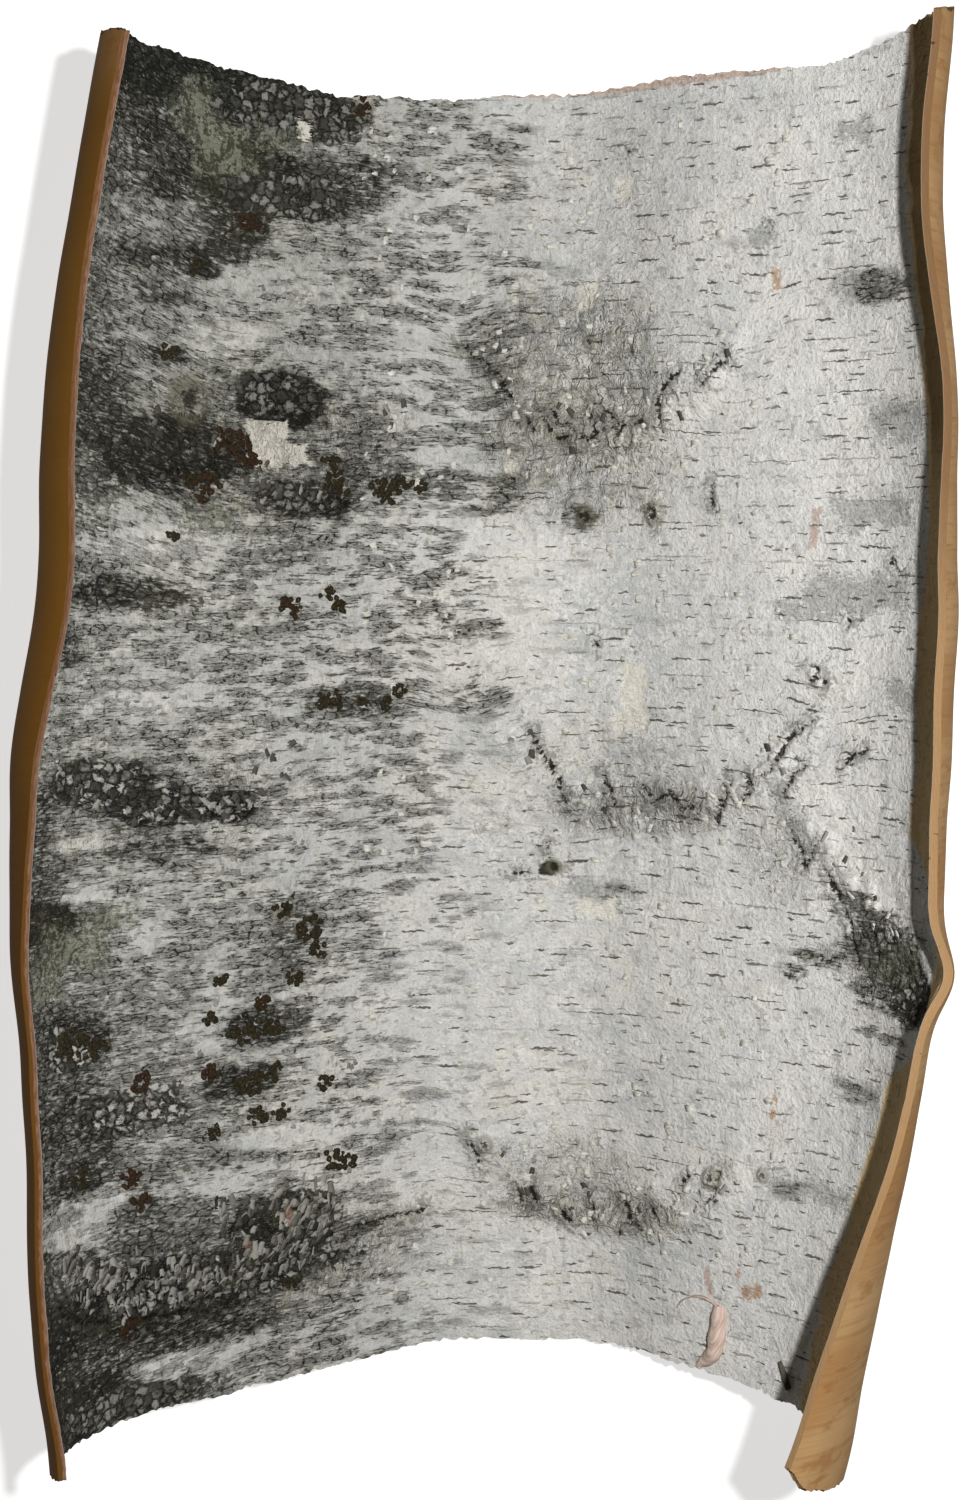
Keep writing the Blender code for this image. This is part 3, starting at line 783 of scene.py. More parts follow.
def white_look():
    """The weathered white side."""
    look = Look("white_bark", 0.85, 0.15)
    read, parts, mix, coat, frayed = look.read, look.parts, look.mix, look.coat, look.frayed
    times, most, ramp, fall = look.times, look.most, look.ramp, look.fall
    noise, cells, centred = look.noise, look.cells, look.centred
    place = read("sheet", True)
    weathered, rough, stroke, knot, grainy, painted_rim_shadow = map(
        read, ("weathered", "rough", "stroke", "knot", "grainy", "painted_rim_shadow"))
    quick = noise(place, 3.6, 2.6, 4.0, 0.66, 3.0)
    crumb = noise(place, 1.5, 1.3, 2.0, 0.65, 58.0)
    fine = noise(place, 5.0, 0.75, 3.0, 0.62, 31.0)
    curl = noise(place, 6.5, 8.5, 4.0, 0.6, 8.0, 0.8)
    wrinkle = noise(look.moved(place, centred(curl, 14.0)), 2.6, 9.0, 2.0, 0.6, 44.0)

    # Warm and cool papery whites in a loose patchwork
    tile = parts(cells(place, 9, 6, 5.0, distance="CHEBYCHEV")["Color"], "Color")[0]
    look.colour = mix(read("warm"), (0.49, 0.50, 0.50), (0.585, 0.575, 0.545))
    coat(ramp(frayed(quick, (tile, 0.2)), 0.4, 0.64), (0.655, 0.65, 0.63))
    coat(times(ramp(tile, 0.6, 0.9), 0.35), (0.46, 0.47, 0.47))
    coat(read("pale"), (0.77, 0.765, 0.75))
    # Real dirt greys the whites, and towards the upper end painted shade darkens them too
    dirt = frayed(read("dirt"), (quick, 0.9), (fine, 0.2))
    coat(ramp(dirt, 0.14, 0.72, 0.0, 0.85), (0.31, 0.31, 0.28))

    # Papery layers that end in curly edges, with a thin dark line of painted shade on the rise of each step
    level = times(curl, 10.0)
    part = look.math("FRACT", level)
    edge = times(ramp(part, 0.0, 0.1), fall(part, 0.1, 0.34))
    coat(times(edge, ramp(frayed(rough, (quick, 1.0)), 0.1, 0.8), 0.8), (0.21, 0.205, 0.17))
    tint = ramp(frayed(curl, (crumb, 0.5)), 0.4, 0.62)
    coat(times(tint, ramp(rough, 0.1, 0.9), 0.5), (0.42, 0.40, 0.325))
    coat(times(ramp(crumb, 0.52, 0.7), ramp(rough, 0.3, 1.0, 0.15, 0.36)), (0.28, 0.275, 0.225))
    # Upright wrinkles in the roughest places, painted dark in their hollows and light on their ridges:
    # painted shade and painted highlight
    wrinkled = ramp(frayed(rough, (quick, 0.5)), 0.3, 0.85)
    coat(times(ramp(wrinkle, 0.55, 0.66), wrinkled, 0.42), (0.19, 0.185, 0.15))
    coat(times(ramp(wrinkle, 0.48, 0.36), wrinkled, 0.45), (0.66, 0.655, 0.62))

    # Grey films with clear edges
    film = frayed(read("film"), (quick, 9.0), (fine, 12.0), (curl, 12.0))
    veil = mix(ramp(crumb, 0.35, 0.6), (0.20, 0.205, 0.20), (0.38, 0.385, 0.375))
    coat(fall(film, -1.2, 1.2, 0.6), veil)

    # Weathered lens-shaped patches, full of fine level cracks
    bend = look.vector("MULTIPLY", noise(place, 3, 2.5, shift=2.0, output=1), (0.9, 0.5, 0.0))
    bent = look.vector("ADD", place, bend)
    net = cells(bent, 5.0, 2.2, 1.0, feature="DISTANCE_TO_EDGE")["Distance"]
    streak = times(ramp(fine, 0.57, 0.62, 0.0, 0.9), ramp(weathered, 0.5, 0.8, 1.0, 0.25))
    shown = most(ramp(quick, 0.44, 0.56, 1.0, 0.1), ramp(weathered, 0.5, 0.8, 0.0, 0.85))
    line = most(streak, times(fall(net, 0.04, 0.15), shown))
    ragged = frayed(read("lens"), (quick, 2.2), (fine, 4.0))
    lens = times(ramp(ragged, -0.2, 0.9), ramp(weathered, 0.02, 0.4, 0.3, 1.0))
    rim = times(ramp(ragged, -0.35, 0.0), fall(ragged, 0.1, 0.5))
    heavy = ramp(frayed(weathered, (quick, 0.7), (fine, 0.7)), 0.5, 0.86)
    inside = most(lens, heavy)
    streaky = ramp(frayed(fine, (quick, 0.8)), 0.38, 0.6)
    coat(times(lens, 0.75), mix(streaky, (0.075, 0.075, 0.067), (0.36, 0.36, 0.335)))
    coat(times(rim, 0.5, inside), (0.07, 0.07, 0.06))
    soot = mix(read("warm"), (0.014, 0.014, 0.012), (0.03, 0.028, 0.017))
    # Chips of many greys where it is most weathered
    chips = noise(bent, 4.6, 2.3, 4.0, 0.68, 71.0)
    shift = look.add(chips, look.math("MULTIPLY_ADD", weathered, -0.56, 0.345), times(grainy, -0.04))
    chip = mix(ramp(shift, 0.40, 0.45), soot, (0.075, 0.075, 0.066))
    chip = mix(ramp(shift, 0.47, 0.52), chip, (0.20, 0.20, 0.18))
    chip = mix(ramp(shift, 0.54, 0.61), chip, (0.40, 0.395, 0.365))
    coat(times(heavy, 0.94), chip)
    coat(times(inside, line, ramp(weathered, 0.05, 0.4, 0.12, 0.95)), soot)

    # Cracked grains on black, darker towards both ends
    swirl = look.moved(place, centred(quick, 5.0), centred(chips, -4.0))
    chance = parts(cells(swirl, 4.2, 3.7, 9.0)["Color"], "Color")[0]
    gap = frayed(cells(swirl, 4.2, 3.7, 9.0, feature="DISTANCE_TO_EDGE")["Distance"], (crumb, 0.08))
    up = parts(place)[1]
    shade = times(ramp(frayed(chance, (quick, 1.2)), 0.15, 0.8),
                  ramp(up, 60.0, 100.0, 1.0, 0.5), ramp(up, -234.0, -224.0, 0.5, 1.0))
    pale = mix(shade, (0.08, 0.08, 0.072), (0.48, 0.475, 0.44))
    # Each grain darkens towards its edge: painted shade on its rounded top
    pale = mix(fall(gap, 0.1, 0.26, 0.7), pale, (0.05, 0.05, 0.044))
    here = ramp(frayed(grainy, (chips, 3.0), (curl, 3.0)), 0.3, 0.9)
    here = times(here, ramp(grainy, 0.02, 0.3))
    coat(times(here, 0.9), soot)
    coat(times(here, ramp(gap, 0.05, 0.10), 0.94), pale)

    # Breathing marks, and long thin scratches
    clean = fall(most(inside, ramp(weathered, 0.35, 0.7)), 0.2, 0.9)
    bend = centred(noise(place, 2.4, 1.6, 1.0, 0.5, 50.0), 1.4)
    marks = most(look.dashes(place, bend, 16, 6.4, 11, 0.72, 0.55, 50.0),
                 look.dashes(place, bend, 10, 4.4, 5.0, 0.5, 0.5, 60.0),
                 look.dashes(place, bend, 40, 12, 26, 0.42, 0.45, 70.0))
    coat(times(marks, ramp(fine, 0.3, 0.45, 0.35, 1.0), clean, 0.85), (0.075, 0.062, 0.045))

    # Strokes, knots and their mottled surroundings
    coat(fall(frayed(stroke, (crumb, 18.0), (curl, 24.0)), -0.5, 4.0, 0.5), (0.115, 0.112, 0.08))
    coat(fall(frayed(stroke, (crumb, 3.0), (quick, 4.0)), -0.4, 0.5, 0.92), (0.022, 0.019, 0.013))
    coat(times(ramp(knot, 0.5, 0.8), fall(knot, 1.0, 1.5), 0.5), (0.2, 0.19, 0.14))
    coat(fall(frayed(knot, (crumb, 1.2)), 0.2, 0.7, 0.85), (0.05, 0.045, 0.03))

    # Fresh cream patches, crusts, rust and pink marks
    cream = read("cream")
    fresh = mix(ramp(fine, 0.36, 0.62), (0.58, 0.56, 0.50), (0.67, 0.65, 0.595))
    coat(fall(frayed(cream, (fine, 5.0)), -0.4, 0.4, 0.85), fresh)
    mottled = ramp(frayed(crumb, (curl, 1.2)), 0.38, 0.62)
    coat(fall(frayed(read("crust"), (chips, 24.0), (crumb, 6.0)), -1.8, 1.8, 0.66),
         mix(mottled, (0.085, 0.09, 0.062), (0.30, 0.305, 0.245)))
    coat(fall(frayed(read("rust"), (crumb, 4.0)), -0.4, 0.5, 0.6), (0.42, 0.22, 0.09))
    coat(fall(frayed(read("pink"), (crumb, 4.0)), -0.4, 0.5, 0.55), (0.42, 0.27, 0.21))
    # Painted shadow: a warm brown shadow band painted inside the right rim, from where the rim's cast shadow
    # begins, darker towards the upper end
    coat(ramp(painted_rim_shadow, 0.0, 0.7, 0.0, 0.85),
         mix(ramp(painted_rim_shadow, 0.7, 1.0), (0.69, 0.52, 0.27), (0.32, 0.20, 0.05)))
    # The outermost layers are peeled back along the upper end
    bare = mix(ramp(fine, 0.35, 0.65), (0.44, 0.35, 0.29), (0.56, 0.46, 0.40))
    coat(fall(frayed(read("peeled"), (quick, 3.0)), -0.4, 0.3, 0.85), bare)
    # Fine dark flecks between the papery layers
    fleck = ramp(frayed(quick, (curl, 0.8)), 0.58, 0.7, 0.0, 0.3)
    coat(times(fleck, ramp(cream, 0.0, 1.0)), (0.17, 0.165, 0.14))

    steps = times(look.add(look.math("FLOOR", level), ramp(part, 0.0, 0.12)), 0.2)
    height = look.add(
        times(steps, ramp(rough, 0.0, 1.0, 0.5, 1.3)),
        times(centred(quick, 1.5), ramp(rough, 0.0, 0.8, 0.35, 1.2)),
        centred(crumb, 0.45),
        times(centred(wrinkle, -3.4), wrinkled),
    )
    return look.finish(height, 1.0, 0.001)


def tan_look():
    """The smooth tan inner side."""
    look = Look("tan_bark", 0.75, 0.1)
    ramp, noise = look.ramp, look.noise
    place = look.read("sheet", True)
    across, along_, _ = look.parts(place)
    streak = noise(place, 45, 2.2, 4.0, 0.6, 3.0)
    fine = noise(place, 9, 0.7, 3.0, 0.6, 7.0)
    look.colour = look.mix(ramp(noise(place, 60, 30, 3.0), 0.3, 0.7), (0.37, 0.225, 0.105),
                           (0.44, 0.305, 0.165))
    look.coat(ramp(streak, 0.45, 0.75, 0.0, 0.4), (0.29, 0.165, 0.07))
    look.coat(ramp(fine, 0.55, 0.75, 0.0, 0.25), (0.47, 0.33, 0.185))
    look.coat(ramp(noise(place, 16, 9, 4.0, 0.65, 11.0), 0.55, 0.72, 0.0, 0.5), (0.28, 0.14, 0.05))
    marks = look.dashes(place, look.centred(fine, 1.4), 18, 7, 12, 0.8, 0.5, 20.0)
    look.coat(look.times(marks, 0.28), (0.22, 0.11, 0.045))
    # Near the left rim the tan is painted a deep brown that stands for the shade that side lies in: painted
    # shade, most of all in the middle of its length
    brown = look.times(look.fall(across, -205.0, -140.0), ramp(along_, 215.0, 250.0, 1.0, 0.55))
    shaded_brown = look.mix(look.fall(along_, -60.0, 60.0), (0.17, 0.085, 0.010), (0.125, 0.055, 0.004))
    look.coat(look.times(brown, 0.92), shaded_brown)
    height = look.add(look.centred(streak, 0.5), look.centred(fine, 0.35), look.times(marks, -0.3))
    return look.finish(height, 0.35, 0.0005)


def rim_look():
    """The broken edge of the sheet, in pinkish layers."""
    look = Look("cut_rim", 0.85, 0.1)
    ramp, fall, mix, times, frayed = look.ramp, look.fall, look.mix, look.times, look.frayed
    place = look.read("edge", True)
    depth = look.read("depth")
    across, along_, _ = look.parts(look.read("sheet", True))
    grain = look.noise(place, 5.0, 0.9, 4.0, 0.65)
    layers = look.math("FRACT", frayed(times(depth, 6.0), (grain, 1.2)))
    look.colour = mix(ramp(grain, 0.3, 0.7), (0.17, 0.10, 0.065), (0.26, 0.165, 0.12))
    # The outer layers on the left are painted the same deep brown as the shaded tan beside them, which is
    # painted shade, and the whole edge is tan on the right
    outer = fall(frayed(depth, (grain, 0.5)), 0.35, 0.65)
    look.coat(times(outer, ramp(along_, -60.0, 0.0, 0.95, 0.6)), (0.14, 0.07, 0.012))
    bright = mix(ramp(frayed(along_, (grain, 30.0)), 30.0, 110.0), (0.40, 0.275, 0.155),
                 (0.24, 0.155, 0.085))
    look.coat(times(ramp(across, 0.0, 140.0), 0.88), bright)
    look.coat(times(fall(layers, 0.0, 0.25), 0.4), (0.14, 0.075, 0.045))
    look.coat(ramp(depth, 0.8, 1.0, 0.0, 0.5), (0.34, 0.29, 0.24))
    tick = look.noise(place, 4.0, 9.0, 3.0, 0.7, 4.0)
    look.coat(ramp(tick, 0.7, 0.74, 0.0, 0.75), (0.05, 0.03, 0.02))
    return look.finish(look.add(look.centred(grain, 0.8), times(layers, 0.4)), 0.5, 0.0005)


def lichen_look():
    """Dark leafy lichen, olive to red-brown."""
    look = Look("leafy_lichen", 0.75, 0.2)
    grain = look.noise(look.read("sheet", True), 1.1, 1.1, 4.0, 0.65)
    light = look.ramp(grain, 0.3, 0.7)
    look.colour = look.mix(light, (0.022, 0.018, 0.010), (0.06, 0.05, 0.026))
    look.coat(look.read("red"), look.mix(light, (0.032, 0.018, 0.011), (0.066, 0.037, 0.021)))
    return look.finish(grain, 0.6, 0.0005)


def flake_look():
    """Loose papery flakes: kind 0 is pale, 1 pinkish, 2 dark, 3 grey and 4 black."""
    look = Look("papery_flake", 0.8, 0.15)
    streak = look.noise(look.read("sheet", True), 4.0, 0.8, 3.0, 0.6)
    light = look.ramp(streak, 0.3, 0.7)
    look.colour = look.mix(light, (0.42, 0.41, 0.37), (0.62, 0.61, 0.57))
    pink = look.mix(light, (0.44, 0.345, 0.30), (0.60, 0.51, 0.455))
    kinds = (pink, (0.11, 0.105, 0.09), (0.30, 0.295, 0.27), (0.05, 0.048, 0.038))
    for k, paint in enumerate(kinds):
        look.coat(look.ramp(look.read("kind"), k + 0.4, k + 0.6), paint)
    return look.finish(streak, 0.4, 0.0004)


WHITE = white_look()
TAN = tan_look()
RIM = rim_look()
LICHEN = lichen_look()
FLAKE = flake_look()

# ---- The sheet's pieces ----

COLUMNS, ROWS, STRIPS = 472, 520, 4
fine_u = np.linspace(-1, 1, COLUMNS + 1)
fine_v = np.linspace(-1, 1, ROWS + 1)
white, tan, inward, S, Y, MAPS = sheet(fine_u, fine_v)
white_normals = grid_normals(white)
MAPS["pale"] = 0.36 * smooth((S - 30) / 90) * smooth(0.9 + 0.5 * hills(S, Y, 20, 14, 72, 4)) * (
    1 - 0.75 * MAPS["rough"])
# Dirt from the weathering, plus a darkening towards the upper end that is painted shade
MAPS["dirt"] = 0.5 * MAPS["weathered"] + 0.5 * base_level(S, Y) + 0.13 * smooth((Y - 60) / 130)
# Painted shadow: the edge where the right rim's cast shadow begins along the sheet, and the shadow band
# painted from there to the rim, darker towards the upper end
rim_shadow_edge = np.interp(Y, (-242, -208, -165, -120, -100, -50, -30, -8, 21, 50, 75, 104, 129, 158, 175, 192),
                    (137, 145, 160, 174, 202, 202, 179, 182, 178, 179, 184, 187, 184, 180, 176, 174))
MAPS["painted_rim_shadow"] = smooth((S - rim_shadow_edge + 2 * hills(S, Y, 14, 14, 75, 3)) / 6)
MAPS["painted_rim_shadow"] *= 0.7 + 0.3 * smooth((Y - 60) / 80)
MAPS["warm"] = smooth(0.5 + 0.9 * hills(S, Y, 30, 24, 71, 4))
MAPS["peeled"] = np.abs(Y - 262) - 13 + 30 * smooth(-S / 20) + 30 * smooth((S - 118) / 30)
place_map = np.stack([S, Y + MAPS["flow"], np.zeros_like(S)], -1)
flat_map = np.stack([S, Y, np.zeros_like(S)], -1)
per_strip = COLUMNS // STRIPS
for strip in range(STRIPS):
    part = slice(strip * per_strip, (strip + 1) * per_strip + 1)
    quads, i, j = grid_quads(per_strip, ROWS)
    values = {key: MAPS[key][part].ravel() for key in MAPS if key != "flow"}
    values["sheet"] = place_map[part].reshape(-1, 3)
    piece = make_object(
        f"white_side_{strip + 1}", white[part].reshape(-1, 3), quads, WHITE,
        white_normals[part].reshape(-1, 3), values, folded_map(per_strip, ROWS, i, j),
    )
    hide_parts("bark")

tan_points = tan[::2, ::2]
quads = grid_quads(COLUMNS // 2, ROWS // 2)[0]
piece = make_object(
    "tan_side", tan_points.reshape(-1, 3), quads[:, ::-1], TAN,
    grid_normals(tan_points, -1).reshape(-1, 3),
    {"sheet": flat_map[::2, ::2].reshape(-1, 3)},
)
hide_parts("bark")


def border(grid):
    """The outline's points of a grid, in order round it."""
    return np.concatenate([grid[:-1, 0], grid[-1, :-1], grid[:0:-1, -1], grid[0, :0:-1]])


# The broken edge: from the white side to the tan side in a few uneven layers
outer, inner, sheet_place = border(white), border(tan), border(flat_map)
middle_way = border((white + tan) / 2)
out_way = np.zeros_like(outer)
out_way[:, 1] = np.sign(middle_way[:, 1])
layers = []
LAYERS = 5
ring = len(outer)
walk = np.arange(ring)
for k in range(LAYERS + 1):
    t = k / LAYERS
    inset = 0.45 * math.sin(math.pi * t) * wander(walk, 7.0, 60 + k)
    layers.append(outer * (1 - t) + inner * t - out_way * np.abs(inset)[:, None] * 0.8)
piece = make_object(
    "cut_rim", np.concatenate(layers), bands(ring, LAYERS)[:, [0, 3, 2, 1]], RIM,
    attributes={
        "sheet": np.tile(sheet_place, (LAYERS + 1, 1)),
        "depth": np.repeat(1 - np.arange(LAYERS + 1) / LAYERS, ring),
        "edge": np.stack([
            np.tile(sheet_place[:, 0] + sheet_place[:, 1], LAYERS + 1),
            np.repeat(THICKNESS * np.arange(LAYERS + 1) / LAYERS, ring),
            np.zeros(ring * (LAYERS + 1)),
        ], -1),
    },
)
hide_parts("bark")

# ---- Small things that sit on the white side ----

rng = np.random.default_rng(2024)


def on_white(s, y, lift):
    """Points at these places on the white side, lifted off it by so many mm."""
    s, y, lift = np.broadcast_arrays(*(np.asarray(q, float) for q in (s, y, lift)))
    v = np.clip(y / (LENGTH / 2), -1, 1)
    for _ in range(3):
        left, right = arc_to_rim(v)
        u = np.clip(np.where(s < 0, s / left, s / right), -1, 1)
        top = np.interp(u, TOP_PLACES, TOP_CUT) * ((1 + v) / 2) ** CUT_REACH
        bottom = np.interp(u, BOTTOM_PLACES, BOTTOM_CUT) * ((1 - v) / 2) ** CUT_REACH
        v = np.clip((y - top + bottom) / (LENGTH / 2), -1, 1)
    a = (u + 1) / 2 * COLUMNS
    b = (v + 1) / 2 * ROWS
    i = np.clip(a.astype(int), 0, COLUMNS - 1)
    j = np.clip(b.astype(int), 0, ROWS - 1)
    p, q = (a - i)[..., None], (b - j)[..., None]
    return between(white, i, j, p, q) + between(inward, i, j, p, q) * lift[..., None]


def gather(parts):
    """Joins (points, quads, values) parts into one mesh's arrays."""
    points, quads, values, first = [], [], {}, 0
    for part_points, part_quads, part_values in parts:
        points.append(part_points)
        quads.append(np.asarray(part_quads) + first)
        for key, value in part_values.items():
            values.setdefault(key, []).append(value)
        first += len(part_points)
    return np.concatenate(points), np.concatenate(quads), {k: np.concatenate(v) for k, v in values.items()}


def lobe(s0, y0, radius, thick, red):
    """One leafy lobe: a low dome with a ragged edge, sunk a little into the bark."""
    turns, rings = 9, 3
    angle = np.arange(turns) / turns * 2 * math.pi + rng.uniform(0, 6)
    reach = radius * rng.uniform(0.72, 1.2, turns)
    s, y, lift = [], [], []
    for k in range(rings + 1):
        t = (1.0, 0.92, 0.6, 0.12)[k]
        s.append(s0 + reach * t * np.cos(angle))
        y.append(y0 + reach * t * np.sin(angle))
        lift.append(np.full(turns, (-0.4, 0.55, 1.0, 0.7)[k] * thick) + rng.uniform(-0.1, 0.1, turns))
    s, y, lift = (np.concatenate(q) for q in (s, y, lift))
    values = {"sheet": np.stack([s, y, 0 * s], -1), "red": np.full(len(s), float(red))}
    return on_white(s, y, lift), bands(turns, rings), values


lobes = []
for s0, y0, radius, red in ROSETTES:
    count = int(5 + radius**2 * 0.62)
    for k in range(count):
        far = radius * math.sqrt(rng.uniform(0, 1)) * rng.uniform(0.75, 1.1)
        turn = rng.uniform(0, 2 * math.pi)
        size = rng.uniform(0.8, 1.7)
        lobes.append(lobe(s0 + far * math.cos(turn) * 1.1, y0 + far * math.sin(turn) * 0.85, size,
                          rng.uniform(0.35, 0.75), red * rng.uniform(0.3, 1)))
points, quads, values = gather(lobes)
make_object("lichen_rosettes", points, quads, LICHEN, attributes=values)


def flake(s0, y0, long, wide, lift, turn, kind):
    """A papery flake held along one edge, curling up towards the other."""
    steps = 4
    across = np.linspace(-0.5, 0.5, 3) * wide
    s, y, up = [], [], []
    for k in range(steps + 1):
        t = k / steps
        taper = 1 - 0.5 * t**2 * rng.uniform(0.4, 1.0)
        for a in across:
            ds, dy = a * taper, t * long * (1 - 0.25 * t)
            s.append(s0 + ds * math.cos(turn) - dy * math.sin(turn))
            y.append(y0 + ds * math.sin(turn) + dy * math.cos(turn))
            up.append(-0.15 + lift * t**1.5 + 0.12 * lift * (a / wide) ** 2)
    s, y, up = np.array(s), np.array(y), np.array(up)
    top = on_white(s, y, up + 0.12)
    under = on_white(s, y, up - 0.08)
    quads = []
    n = len(s)
    for k in range(steps):
        for m in range(2):
            a = k * 3 + m
            quads.append((a, a + 1, a + 4, a + 3))
            quads.append((n + a, n + a + 3, n + a + 4, n + a + 1))
    rim = [0, 1, 2, 5, 8, 11, 14, 13, 12, 9, 6, 3]
    for k in range(len(rim)):
        a, b = rim[k], rim[(k + 1) % len(rim)]
        quads.append((b, a, n + a, n + b))
    values = {"sheet": np.stack([s, y, 0 * s], -1), "kind": np.full(n, float(kind))}
    return np.concatenate([top, under]), quads, {k: np.concatenate([q, q]) for k, q in values.items()}


SCAR_FLAKES, MIDDLE_FLAKES, DARK_FLAKES = 46, 420, 240
SHAGGY = ((-135, -208, 62, 200), (-102, -188, 26, 60))
flakes = []
# Along the scars
for middle, lowest, half_width, rise in SCARS:
    for _ in range(SCAR_FLAKES):
        a = rng.uniform(-0.95, 0.95)
        s0 = middle + a * half_width
        y0 = lowest + rise * abs(a) ** SCAR_POWER + rng.normal(2, 5)
        if -195 < s0 < 188 and abs(y0) < 238:
            kind = rng.choice([0, 0, 0, 0, 0, 3, 3, 2, 2]) if s0 > -60 else rng.choice([2, 2, 3])
            flakes.append(flake(s0, y0, rng.uniform(2, 5.5), rng.uniform(1.2, 3), rng.uniform(0.4, 1.6),
                                rng.normal(0, 0.5) + (math.pi if rng.random() < 0.3 else 0), kind))
# Over the papery middle
for _ in range(MIDDLE_FLAKES):
    s0, y0 = rng.uniform(-60, 125), rng.uniform(-235, 235)
    flakes.append(flake(s0, y0, rng.uniform(1.5, 4.5), rng.uniform(1.5, 4.5), rng.uniform(0.2, 0.7),
                        rng.choice([0, math.pi / 2, math.pi, -math.pi / 2]) + rng.normal(0, 0.3), 0))
# In the weathered part, grey or dark as the bark is there
places = rng.uniform((-190, -238), (-60, 238), (DARK_FLAKES, 2))
levels = painted(places[:, :1], places[:, 1:], base_level(places[:, :1], places[:, 1:]), PATCHES)[:, 0]
for (s0, y0), level in zip(places, levels):
    kind = rng.choice([2, 2.46, 2.5]) if level > 0.55 else rng.choice([2.53, 3])
    flakes.append(flake(s0, y0, rng.uniform(1.5, 4), rng.uniform(1.2, 3), rng.uniform(0.3, 1.0),
                        rng.uniform(-3, 3), kind))
# Shaggy upright ones in the big scar at the lower left, and in the upper one
for middle, lowest, spread, count in SHAGGY:
    for _ in range(count):
        s0 = middle + rng.uniform(-1, 1) * spread
        y0 = lowest + 0.004 * (s0 - middle) ** 2 + rng.normal(0, 5.5)
        flakes.append(flake(s0, y0, rng.uniform(3, 9), rng.uniform(1.0, 3.2), rng.uniform(0.5, 1.8),
                            rng.normal(-0.15, 0.35), rng.choice([2, 2.47, 2.5, 2.53, 3, 4, 3, 3])))
points, quads, values = gather(flakes)
make_object("papery_flakes", points, quads, FLAKE, attributes=values)

# ---- The torn strip and its thread near the lower right ----


def ribbon(path, widths, heights, thick, kind, steps=48, arch=14):
    """A thin curled strip along points s, y: an arch open below, with its own thickness."""
    path = np.array(path, float)
    t = np.linspace(0, len(path) - 1, steps)
    index = np.arange(len(path))
    s0, y0 = np.interp(t, index, path[:, 0]), np.interp(t, index, path[:, 1])
    for _ in range(3):
        s0[1:-1] = (s0[:-2] + 2 * s0[1:-1] + s0[2:]) / 4
        y0[1:-1] = (y0[:-2] + 2 * y0[1:-1] + y0[2:]) / 4
    width = np.interp(t, index, widths)
    height = np.interp(t, index, heights)
    ds, dy = np.gradient(s0), np.gradient(y0)
    size = np.hypot(ds, dy)
    side = np.stack([dy / size, -ds / size], -1)
    turn = np.linspace(-0.12 * math.pi, math.pi * 1.12, arch)
    wave = 1 + 0.05 * np.sin(t * 5)[:, None]
    points, places = [], []
    for layer in (0.0, thick):
        a = (width[:, None] / 2 - layer) * np.cos(turn)[None] * wave
        up = (height[:, None] - layer) * np.sin(turn)[None] * wave
        s, y = s0[:, None] + side[:, :1] * a, y0[:, None] + side[:, 1:] * a
        points.append(on_white(s, y, up).reshape(-1, 3))
        places.append(np.stack([s, y * 0.3 + up, 0 * s], -1).reshape(-1, 3))
    n = steps * arch
    skin = grid_quads(steps - 1, arch - 1)[0]
    quads = [skin[:, ::-1], skin + n]
    for row in (0, steps - 1):
        a = row * arch + np.arange(arch - 1)
        quads.append(np.stack([a, a + 1, a + 1 + n, a + n], -1))
    for column in (0, arch - 1):
        a = np.arange(steps - 1) * arch + column
        quads.append(np.stack([a, a + arch, a + arch + n, a + n], -1))
    points = np.concatenate(points)
    return points, np.concatenate(quads), {
        "sheet": np.concatenate(places), "kind": np.full(len(points), float(kind))}


strip_parts = [
    ribbon([(88.5, -247.5), (92.5, -244), (96, -240), (97, -233), (97.5, -226), (97, -221.5)],
           [3, 5.5, 7.0, 7.4, 7.0, 5.0], [1.4, 2.2, 3.6, 3.9, 3.4, 2.2], 0.35, 1),
    ribbon([(97, -222), (92, -219.5), (86, -219.5), (80, -222.5), (77, -226)],
           [0.7, 0.6, 0.6, 0.5, 0.3], [1.4, 2.0, 2.2, 1.6, 0.4], 0.15, 1, 30, 8),
    ribbon([(133, -246), (130, -240), (127.5, -236)], [2.2, 1.8, 0.8], [1.6, 2.0, 1.6], 0.3, 2, 14, 8),
]
points, quads, values = gather(strip_parts)
make_object("torn_strip", points, quads, FLAKE, attributes=values)

# ---- Floor, light and camera ----


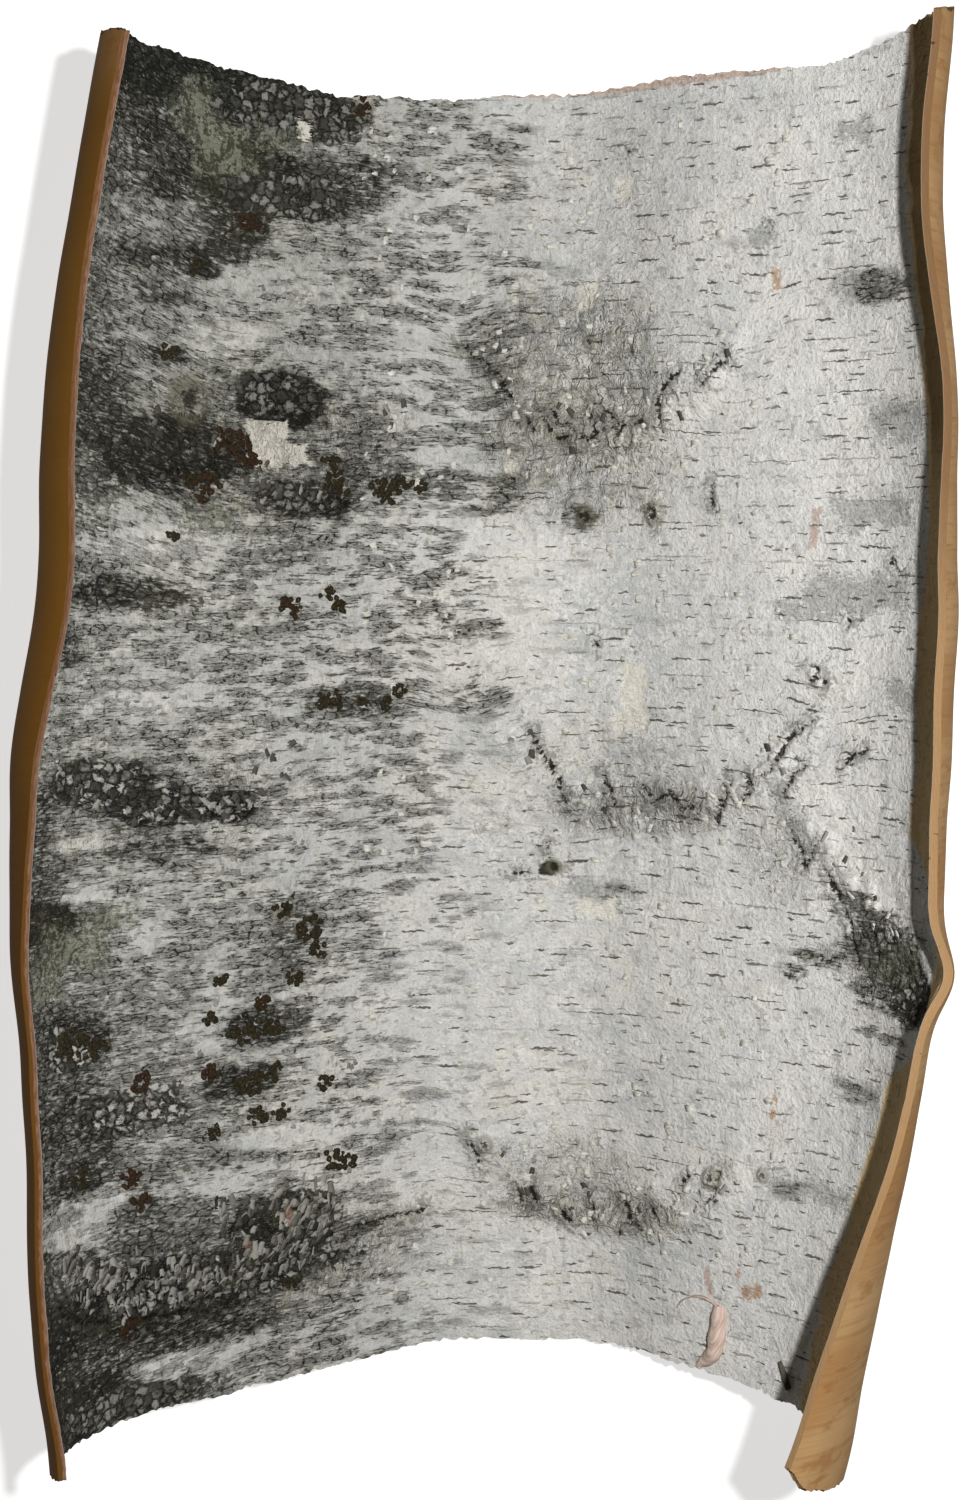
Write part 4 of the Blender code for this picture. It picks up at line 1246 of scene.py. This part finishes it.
FLOOR_REACH = 40.0
FLOOR_DROP = 0.0004
FLOOR_GLOW = 0.74
LAMP_PLACE, LAMP_POWER, LAMP_RADIUS = (0.132, 0.13, 1.05), 57, 0.014
FILL_COLOUR, FILL_STRENGTH = (1.0, 0.70, 0.42, 1), 0.035
CAMERA_PLACE, CAMERA_TIP = (0.0022, 0.0766, 1.0), -math.atan(210 / 2500)


def stage():
    """A wide pale floor under the bark."""
    mesh = bpy.data.meshes.new("floor")
    corners = [(x * FLOOR_REACH, y * FLOOR_REACH, 0) for x, y in ((-1, -1), (1, -1), (1, 1), (-1, 1))]
    mesh.from_pydata(corners, [], [(0, 1, 2, 3)])
    floor = bpy.data.objects.new("floor", mesh)
    floor.location.z = -FLOOR_DROP
    bpy.context.scene.collection.objects.link(floor)
    look = Look("pale_floor", 0.9, 0.1)
    look.shader.inputs["Base Color"].default_value = (0.32, 0.32, 0.32, 1)
    look.shader.inputs["Emission Color"].default_value = (1, 1, 1, 1)
    look.shader.inputs["Emission Strength"].default_value = FLOOR_GLOW
    mesh.materials.append(look.material)


def light():
    """One clear lamp a metre up, a little right of the camera, and an even fill."""
    lamp = bpy.data.lights.new("key", "POINT")
    lamp.energy = LAMP_POWER
    lamp.shadow_soft_size = LAMP_RADIUS
    lamp.color = (0.99, 0.985, 0.98)
    key = bpy.data.objects.new("key", lamp)
    key.location = LAMP_PLACE
    bpy.context.scene.collection.objects.link(key)
    world = bpy.data.worlds.new("studio")
    world.use_nodes = True
    back = world.node_tree.nodes["Background"]
    back.inputs[0].default_value = FILL_COLOUR
    back.inputs[1].default_value = FILL_STRENGTH
    bpy.context.scene.world = world
    view = bpy.context.scene.view_settings
    view.view_transform = "Standard"
    view.gamma = 0.78


def camera():
    """Nearly straight down, about a metre up, tipped a little towards the lower end."""
    lens = bpy.data.cameras.new("camera")
    lens.lens = 60
    lens.sensor_width = 36
    lens.clip_start = 0.05
    eye = bpy.data.objects.new("camera", lens)
    eye.location = CAMERA_PLACE
    eye.rotation_euler = (CAMERA_TIP, 0, 0)
    bpy.context.scene.collection.objects.link(eye)
    bpy.context.scene.camera = eye


stage()
light()
camera()
